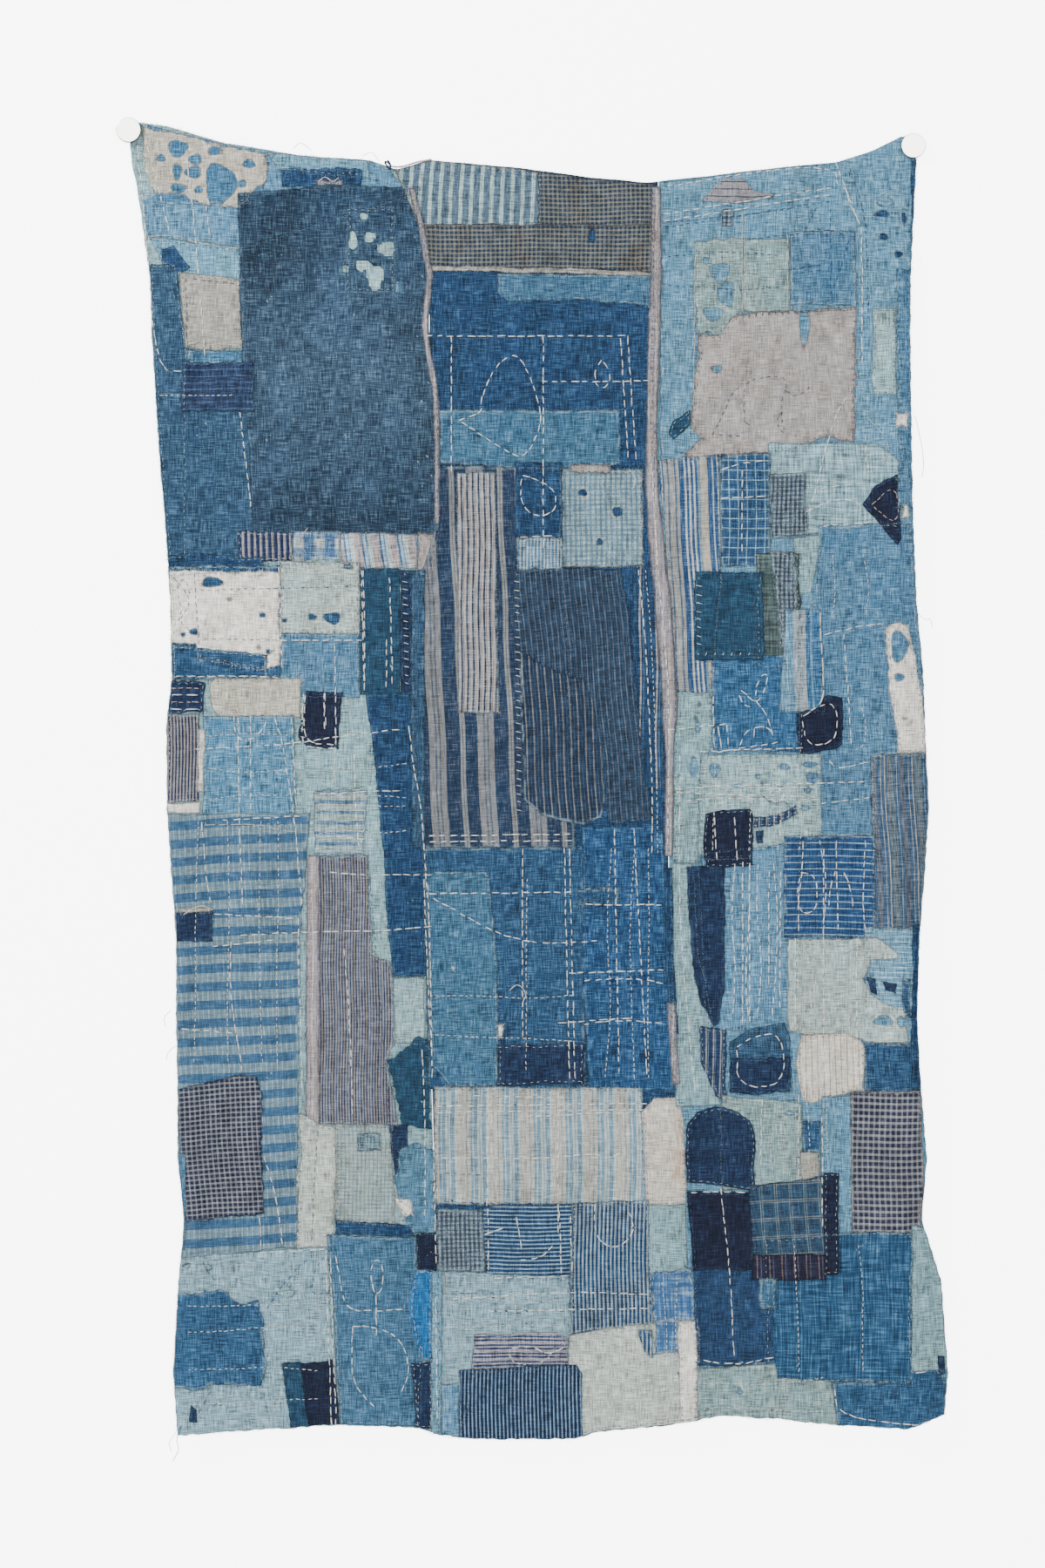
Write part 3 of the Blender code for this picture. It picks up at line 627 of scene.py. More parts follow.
# Blends the four sides over a grid: top to bottom plus left to right, less the corners' blend.
# A start is a point in cm where the cloth's stripes begin a repeat.
def makePatch(name, cloth, outline, holes=(), turn=0, rag=None, lift=0.0, start=None):
    top, right, bottom, left = fourSides(outline)
    lengths = [np.hypot(*np.diff(side, axis=0).T).sum() for side in (top, right, bottom, left)]
    width, height = max(lengths[0], lengths[2]), max(lengths[1], lengths[3])
    u, v = gridShares(width), gridShares(height)
    rag = patchMake["rag"] if rag is None else rag
    top, bottom = raggedSide(top, u, rag), raggedSide(bottom, u, rag)
    left, right = raggedSide(left, v, rag), raggedSide(right, v, rag)
    sides = (np.stack(keepOnCloth(*side.T), axis=-1) for side in (top, right, bottom, left))
    top, right, bottom, left = sides
    corners = (top[0], top[-1], bottom[0], bottom[-1])
    left[0], right[0], left[-1], right[-1] = corners
    a, b = u[None, :, None], v[:, None, None]
    plan = (1 - b) * top[None] + b * bottom[None] + (1 - a) * left[:, None] + a * right[:, None]
    plan -= (1 - b) * ((1 - a) * corners[0] + a * corners[1]) + b * ((1 - a) * corners[2] + a * corners[3])
    x, drop = plan[..., 0], plan[..., 1]
    rim = np.minimum(np.minimum(u, 1 - u)[None, :] * width, np.minimum(v, 1 - v)[:, None] * height)
    keep = None
    # Faces inside a hole go, and the ring left round it is drawn to its outline.
    for holeX, holeDrop, radiusX, radiusDrop in holes:
        ax, ad = (x - holeX * cm) / (radiusX * cm), (drop - holeDrop * cm) / (radiusDrop * cm)
        reach = np.hypot(ax, ad) * (1 + 0.13 * np.sin(3 * np.arctan2(ad, ax) + holeX))
        middle = (reach[:-1, :-1] + reach[1:, :-1] + reach[1:, 1:] + reach[:-1, 1:]) / 4
        kept = (middle > 1).reshape(-1)
        keep = kept if keep is None else keep & kept
        rim = np.minimum(rim, np.maximum(reach - 1, 0) * min(radiusX, radiusDrop) * cm)
        inside = reach < 1
        push = np.where(inside, 1 / np.maximum(reach, 0.35), 1.0)
        x, drop = holeX * cm + ax * radiusX * cm * push, holeDrop * cm + ad * radiusDrop * cm * push
    under = pileUnder(x, drop)
    own = under + pile["layer"] + lift * mm
    edge = 1 - ease(rim, 0.0, 1.3 * patchMake["rimStep"])
    np.maximum.at(heights, pileIndex(x, drop), own)
    angle = math.radians(turn)
    drift = random.uniform(-0.3, 0.3, 2)
    turned = np.array(((math.cos(angle), -math.sin(angle)), (math.sin(angle), math.cos(angle))))
    thread = np.stack((x, drop), -1) @ turned
    if start is not None:
        drift = -np.array(start) * cm @ turned
    sway = np.sin(38 * drop + 9 * x + drift[0] * 9), np.sin(33 * x + 7 * drop + drift[1] * 9)
    thread += 0.9 * mm * np.stack(sway, -1)  # no weave runs quite straight
    points = hungPoints(x, drop, own - edge * pile["edgeDrop"])
    piece = gridMesh(name, points, {"thread": thread + drift}, rim, keep)
    piece.data.materials.append(materials[cloth])
    return piece, (top, right, bottom[::-1], left[::-1])


# The charts, one for each loom width and one for the strips along the seams: name, cloth, outline in
# cm (left, top, right, bottom, or points clockwise), and what else makePatch is told.
leftChart = [
    ("topField", "lightBlue", [(-51, -2.5), (-38, 0.4), (-29, 2.1), (-19.5, 2.9), (-17, 4.2), (-14, 7.4),
        (-36, 14.4), (-48.4, 12.7)], {}),
    ("scrapUnder", "midBlue", [(-48.4, -1.8), (-33.2, 2.2), (-33.4, 8.4), (-47.6, 8.6)], {}),
    ("hempScrap", "warmHemp", [(-49, -1.6), (-39.3, 0.9), (-33, 2.1), (-33, 5.3), (-36.7, 9.1), (-40.5, 8.4),
        (-42.9, 7.7), (-47.4, 7.1), (-48.6, 4)], {"holes": [(-39, 6, 1.9, 2.6), (-44.5, 1.3, 1.2, 1.0),
        (-39.7, 1.7, 0.9, 0.45), (-42.2, 2.7, 0.8, 0.6), (-42.5, 4.4, 1.0, 0.7), (-44.6, 4.3, 0.5, 1.0),
        (-44.4, 6.5, 0.9, 0.6), (-35.2, 3.4, 0.7, 0.5), (-36.2, 5.9, 0.6, 0.4), (-46.7, 2.6, 0.5, 0.4),
        (-41.8, 6.7, 0.5, 0.4)], "rag": 2.4}),
    ("topStrip", "paleSky", [(-33, 1.9), (-19.5, 3.0), (-19.6, 5.2), (-31.4, 4.4)], {}),
    ("tornStrip", "deepIndigo", [(-31.3, 4.1), (-20.7, 4.1), (-20.7, 6.2), (-31, 6.4)], {"rag": 2}),
    ("pinkFray", "selvedge", (-26.8, 5.6, -23, 6.8), {"rag": 2}),
    ("stepField", "paleSky", [(-48.1, 12.8), (-36.3, 14.4), (-35.9, 27.8), (-43.2, 27.8), (-45, 20)], {}),
    ("leftStrip", "deepMid", [(-48.5, 16.4), (-44.6, 16.4), (-43.2, 27.6), (-43.2, 54.6), (-47, 54.6),
        (-48, 30)], {}),
    ("deepWedge", "deepIndigo", [(-46.6, 14.4), (-45, 14), (-42.8, 16.8), (-44, 17.6), (-46.6, 15.9)], {}),
    ("stonePatch", "greyCream", [(-44.2, 17.4), (-36, 18.5), (-35.9, 27.3), (-38.9, 27.6), (-43.4, 27.3)],
        {}),
    ("blueSliver", "midBlue", (-43.2, 27.5, -35.9, 29.4), {}),
    ("lowerBlue", "deepMid", [(-48, 33), (-34.6, 33), (-34, 54.6), (-47, 54.6)], {}),
    ("wearUnder", "paleTeal", (-22.6, 9, -16.4, 20), {}),
    ("wearUnderB", "midBlue", (-16.4, 15.5, -13.8, 21.2), {}),
    ("bigNavy", "wornNavy", [(-36.7, 7.1), (-24.6, 6.2), (-14.4, 6.4), (-12, 17.2), (-12.1, 23.8),
        (-10.9, 29.5), (-10.7, 40.1), (-10.9, 51.4), (-22.4, 51.7), (-34.6, 51.9), (-35.4, 38.5),
        (-36.2, 27.2)], {"holes": [(-20.4, 10.2, 0.5, 0.5), (-21.7, 13.4, 0.5, 1.2), (-19.6, 12.9, 0.6, 0.7),
        (-17.4, 14.4, 1.1, 0.9), (-20.4, 16.6, 1.1, 0.6), (-18.9, 18.1, 1.0, 1.6), (-22.7, 17, 0.3, 0.6),
        (-15.9, 19.4, 0.3, 0.8)], "start": (0, 0)}),
    ("wrinkledNavy", "wrinkledNavy", (-44, 28.9, -34.6, 35.6), {"rag": 1.8}),
    ("darkStripes", "pinkNavyStripe", (-36.7, 51, -29.6, 54.9), {"rag": 1.4}),
    ("gingham", "gingham", (-29.6, 51, -23.4, 54.8), {}),
    ("pinkStripes", "pinkBlueStripe", (-23.4, 51.3, -13.3, 55.8), {"turn": -7}),
    ("pinkEnd", "pinkBeige", [(-13.3, 51.2), (-10.7, 51.2), (-11.6, 56.3), (-13.4, 56.3)], {}),
    ("tornHem", "deepIndigo", (-45.8, 54.2, -33.3, 56.6), {"rag": 2.4}),
    ("underBlue", "dimBlue", [(-46, 55.5), (-20.8, 55.2), (-20.8, 70), (-46, 70)], {}),
    ("hempPatch", "creamHemp", [(-45.8, 56.2), (-31.2, 56.3), (-31.2, 68.3), (-33.8, 68.8), (-41.8, 67.7),
        (-41.9, 65.4), (-45.8, 65.5)], {"holes": [(-40, 57.6, 1.3, 0.6), (-42.3, 64, 0.5, 0.4),
        (-33.5, 61.8, 0.4, 0.3), (-43.7, 64.4, 0.3, 0.3), (-37.7, 59.8, 0.3, 0.2), (-32.6, 66.6, 0.4, 0.3),
        (-34, 66, 0.3, 0.3)], "rag": 1.6}),
    ("greenPatch", "creamGreen", (-31.3, 54.9, -20.8, 64.3), {"holes": [(-27, 62.1, 0.5, 0.35),
        (-24.4, 62.2, 1.0, 0.7), (-30.6, 62.5, 0.3, 0.25), (-22.4, 55.6, 0.6, 0.3)]}),
    ("skyBlock", "midIndigo", (-31.2, 64.2, -20.7, 72.5), {}),
    ("steelBlock", "dimBlue", [(-46, 65.6), (-32.8, 67), (-32.8, 70.2), (-46, 70.2)], {}),
    ("tealBlock", "deepTeal", (-20.8, 55.7, -15.6, 72.2), {}),
    ("ladderStrip", "navy", (-15.6, 56, -14, 72.2), {}),
    ("stitchedBit", "navy", (-45.6, 70.5, -41, 74.7), {"rag": 1.8}),
    ("roundGrey", "stoneCream", [(-39.6, 70), (-28.5, 70), (-28.5, 75.1), (-39, 75.1), (-40.2, 73.5),
        (-40.3, 71)], {}),
    ("blackPatch", "blackNavy", [(-27.8, 71.6), (-23, 71.8), (-23.4, 75), (-23.6, 79.2), (-27.8, 79),
        (-28.9, 77.6)], {}),
    ("pinColumn", "fineBeigePin", (-46.5, 74.6, -41.5, 86.1), {}),
    ("skyPatch", "skyBlue", (-41.1, 74.8, -29.2, 89.3), {}),
    ("hempSliver", "creamHemp", (-41.8, 76.7, -41, 84.6), {}),
    ("hempSliverB", "creamHemp", (-45.8, 86.1, -41.5, 87.3), {}),
    ("seamDeep", "deepIndigo", [(-20.1, 72), (-13.9, 72), (-13.4, 87), (-12.3, 95), (-12.2, 108.6),
        (-16.5, 108.6), (-17.1, 102.5), (-17.6, 95), (-18.6, 84.6), (-19.3, 78)], {}),
    ("tornBands", "tornBand", (-26.8, 84.6, -20.2, 93.1), {"rag": 2.4}),
    ("bandedCloth", "banded", [(-46, 87.5), (-27.3, 87.5), (-28.7, 105), (-28.9, 143.6), (-37, 144.5),
        (-44, 146)], {"turn": -3}),
    ("hempLine", "greyCream", (-44.3, 99.8, -40.2, 100.4), {"rag": 1}),
    ("smallNavy", "navy", (-44.4, 100.3, -39.8, 104.1), {}),
    ("pinPatch", "pinPatch", [(-27.6, 92.9), (-19.8, 92.9), (-19.1, 105.8), (-16.8, 106.6), (-16.1, 116.5),
        (-17.3, 119.2), (-15.8, 127.9), (-27.9, 127.9)], {"rag": 1.3}),
    ("pinFold", "selvedge", [(-27.6, 92.9), (-26.1, 92.9), (-26.1, 127.8), (-27.9, 127.8)], {}),
    ("palePatchA", "paleTeal", (-16.4, 108.6, -12.5, 117.2), {}),
    ("tealWedge", "deepTeal", [(-17.3, 119.4), (-13.3, 116.5), (-12, 116.8), (-11.5, 128.4), (-15.2, 128),
        (-15.8, 126.2)], {"rag": 2}),
    ("brownCheck", "brownNavyCheck", [(-44.6, 123.2), (-37, 121.6), (-34.2, 121.6), (-33.6, 123.8),
        (-33.2, 139.2), (-43.7, 140.2)], {"turn": -4, "rag": 1.3}),
    ("edgeBlue", "midBlue", (-45, 131.5, -43.4, 144), {}),
    ("paleTorn", "paleCream", [(-28.8, 126.3), (-26.5, 127.9), (-24, 128.3), (-23.9, 133.5), (-24.1, 140.2),
        (-24.4, 144.3), (-29.2, 144.2), (-29, 138), (-28.5, 131.2)], {"rag": 2.2}),
    ("greyCheck", "greyGreenCheck", [(-24, 127.6), (-16.7, 127.8), (-16.2, 140.7), (-24.1, 140.3)], {}),
    ("checkDarn", "checkShade", (-21.2, 128.9, -18.2, 131.1), {}),
    ("deepHem", "deepIndigo", [(-24.1, 140.1), (-13.7, 140.7), (-13.7, 142.2), (-24.1, 141.9)], {}),
    ("navyTail", "navy", [(-17.1, 127.7), (-14.5, 127.7), (-14.8, 131.5), (-16.3, 135)], {}),
    ("tealFlag", "seaGrey", [(-15.6, 131), (-13.3, 129.8), (-11.1, 131.2), (-11.1, 141.9), (-13.8, 141.9),
        (-15.4, 139.1), (-16.5, 134.6)], {"rag": 2}),
    ("hempFray", "creamHemp", [(-16.4, 137.1), (-14.6, 137.3), (-13.9, 139.6), (-15.3, 139.8)], {"rag": 2.4}),
    ("paleFloor", "paleMist", [(-45.5, 145), (-25, 143.5), (-24.6, 152), (-23.2, 168), (-45.5, 168.5)],
        {"holes": [(-43.2, 145.9, 0.4, 0.3), (-40.4, 146.2, 0.35, 0.35), (-39.4, 150, 0.3, 0.3),
        (-30.4, 149.6, 1.1, 0.35), (-30, 148.5, 0.3, 0.3)]}),
    ("ovalField", "slateBlue", [(-25.2, 142), (-13.5, 142.2), (-13.3, 146.6), (-13.8, 152), (-12.8, 158),
        (-13, 167.5), (-23.4, 167.5), (-24, 157), (-24.6, 148)], {}),
    ("rubbedBlue", "rubbedIndigo", [(-45.3, 149.4), (-37.8, 149.4), (-37, 150.6), (-34, 150.4),
        (-33.2, 153.5), (-33.1, 158), (-33.6, 161.5), (-45.3, 161.8)], {"rag": 2.2}),
    ("cornerBlack", "blackNavy", [(-30.9, 158.7), (-24.4, 158.2), (-23.4, 166.8), (-29.8, 167.3)], {}),
    ("cornerTeal", "deepTeal", [(-30.9, 158.8), (-28.5, 158.4), (-27.3, 167.2), (-29.8, 167.2)], {}),
    ("navyHole", "navy", [(-42.7, 164), (-41.9, 164.6), (-41.8, 166.3), (-42.9, 166.1)], {}),
    ("blackBit", "blackNavy", (-13.4, 141.9, -10.7, 146.6), {}),
    ("brightStrip", "brightBlue", [(-13.4, 146.6), (-11.4, 146.6), (-11.4, 158.4), (-12.8, 158.4),
        (-13.8, 155), (-14.5, 151.5), (-14, 148)], {}),
    ("navyEnd", "navy", [(-14.2, 158.5), (-11.4, 158.5), (-11.4, 167), (-13.6, 167)], {}),
]
centreChart = [
    ("deepField", "deepIndigo", [(-14, 4), (17.4, 6), (17.2, 42.5), (-10.8, 42.5), (-12, 18)], {}),
    ("greyStripes", "greyStripe", [(-16.6, 3.6), (-12, 2.8), (-0.9, 3.9), (2.8, 4.5), (2.6, 11.4),
        (-13.2, 11.4)], {"turn": 4}),
    ("tanUpper", "tanCheck", [(2.2, 4.4), (9, 5.1), (17.2, 6), (17.2, 11.6), (2.2, 11.6)], {}),
    ("tanLower", "tanCheck", [(-12.8, 11.2), (17.2, 11.3), (17.1, 17.6), (9, 17.2), (-12, 16.8)],
        {"holes": [(9.2, 12.7, 0.35, 0.8)]}),
    ("tanHem", "greyCream", [(-12, 16.7), (9, 17), (17.1, 17.7), (17.1, 18.1), (6, 17.6), (-12, 17.2)], {}),
    ("roundBlue", "slateBlue", [(-3.1, 17.6), (17, 17.9), (17, 22), (9, 21), (-1.6, 21.2), (-2.8, 20.2)], {}),
    ("tealBand", "tealBlue", [(-10.6, 35.3), (12.8, 35.3), (12.8, 42.4), (4, 43), (-10.6, 42.2)], {}),
    ("wideStripes", "wideStripe", [(-10.7, 42.6), (5.5, 42.9), (5.6, 56), (6.2, 70), (7, 92), (-13, 92),
        (-13.8, 78), (-14, 60), (-11, 50)], {"turn": -2.6, "start": (-12.75, 60)}),
    ("seamStrip", "deepMid", {"strip": [(-13.3, 56, 1.8), (-13.4, 70, 1.8), (-13.2, 92, 1.6)]}, {"rag": 0.6}),
    ("narrowStripes", "narrowStripe", [(-8.3, 43.4), (-3.4, 43.4), (-2.8, 74.5), (-8.1, 74.5)], {}),
    ("greenCheck", "blueGreyCheck", (5.1, 42.9, 15.8, 55.7), {"holes": [(8, 46, 0.5, 0.4),
        (12.5, 48.5, 0.6, 0.5), (10.2, 52.4, 0.4, 0.4)]}),
    ("deepSquare", "deepIndigo", (-0.7, 42.1, 5.4, 51.9), {}),
    ("finePin", "finePin", (-0.5, 51.9, 5.4, 56), {}),
    ("pinkTab", "pinkBeige", (6.3, 42.3, 11.5, 43.4), {}),
    ("deepColumn", "deepLined", [(14.4, 55.5), (17.6, 55.5), (18.5, 66), (18.6, 84.4), (14.4, 84.4)], {}),
    ("beigePins", "beigePin", [(-0.2, 64), (11.4, 66), (11.2, 84.9), (10.4, 88), (8, 89), (3, 88),
        (0.4, 85.8)], {"turn": -3}),
    ("navyPins", "navyPin", [(-0.9, 56.1), (12.9, 55.8), (14.3, 65.9), (15.5, 77.4), (16.9, 88.4),
        (11.4, 88.6), (10.3, 84.9), (10.6, 78.9), (9.4, 73.1), (8.3, 70.5), (4, 68.8), (-0.2, 66.7)],
        {"rag": 1.8, "turn": -5, "lift": 0.3}),
    ("deepBlock", "dimBlue", [(-12.6, 92), (8.3, 91.8), (8.3, 123.2), (-12, 123.2)], {}),
    ("tealPatch", "tealBlue", [(-12.2, 95.1), (-4.2, 95.1), (-3, 108), (-3, 122.8), (-9, 122.8),
        (-11.6, 120)], {}),
    ("blotchField", "blotchBlue", [(7.9, 89.2), (18.4, 89.2), (19, 107), (19.8, 123.3), (8.9, 123.3),
        (8, 110)], {}),
    ("nightEnd", "navy", (-3, 117.4, 8.2, 122.6), {}),
    ("hempTick", "creamHemp", (-2.9, 114.8, -2.4, 116.6), {"rag": 1}),
    ("hempDot", "creamHemp", (-9.1, 107.2, -8.5, 107.8), {}),
    ("tornRidge", "dimBlue", (7.3, 97.4, 12.6, 99.4), {"rag": 2.4}),
    ("creamStripes", "creamBlueStripe", [(-11.2, 122.9), (15.7, 123), (16.3, 138.2), (-11.2, 138)], {}),
    ("hempTongue", "stainedCream", [(15.5, 126.2), (17.2, 124.4), (20.6, 124.2), (21.2, 129), (21.3, 138.2),
        (16.1, 138.2), (15.9, 129)], {}),
    ("checkBit", "smallCheck", (-10.8, 138.7, -4.7, 146.8), {}),
    ("navyRows", "navyRow", [(-4.9, 138.4), (6.8, 138), (6.8, 147.4), (-4.4, 148)], {}),
    ("uprightStripes", "uprightStripe", [(6.6, 138), (16.5, 137.4), (17.2, 153.4), (6.2, 155)], {}),
    ("paleColumn", "greyTeal", (16.5, 138, 21.4, 147.2), {}),
    ("mottledBit", "mottled", [(16.6, 146.8), (22.2, 146.3), (22.7, 153), (17, 153.3)], {"rag": 2}),
    ("paleField", "paleMist", [(-11, 146.7), (6.4, 147.4), (6.4, 156), (-6, 160), (-8, 168), (-11, 168)], {}),
    ("creamField", "paleCream", [(6.1, 155), (17.2, 153.2), (23, 154), (22.8, 167), (6.5, 169)], {}),
    ("mottledTail", "mottled", (17.2, 153, 20.4, 157.3), {"rag": 2}),
    ("pinkRows", "pinkRow", [(-6, 154.9), (4.7, 154.6), (6.1, 155.5), (6.1, 159.2), (-6.6, 159.8)],
        {"turn": -1}),
    ("creamSliver", "creamHemp", [(20.3, 153), (22.8, 153), (23, 167), (20.6, 167)], {}),
    ("hemStripes", "hemStripe", [(-8, 159.5), (7.2, 158.8), (8, 160), (7.9, 169), (-8, 169)], {}),
    ("paleSeam", "paleSky", (-11.5, 146.6, -10.2, 168), {}),
    ("skyEnd", "lightBlue", (-10.3, 161.2, -8, 168.5), {}),
    ("stripeCurl", "uprightStripe", [(15.1, 154.2), (16.9, 154.1), (17, 157.9), (15.9, 157)], {}),
]
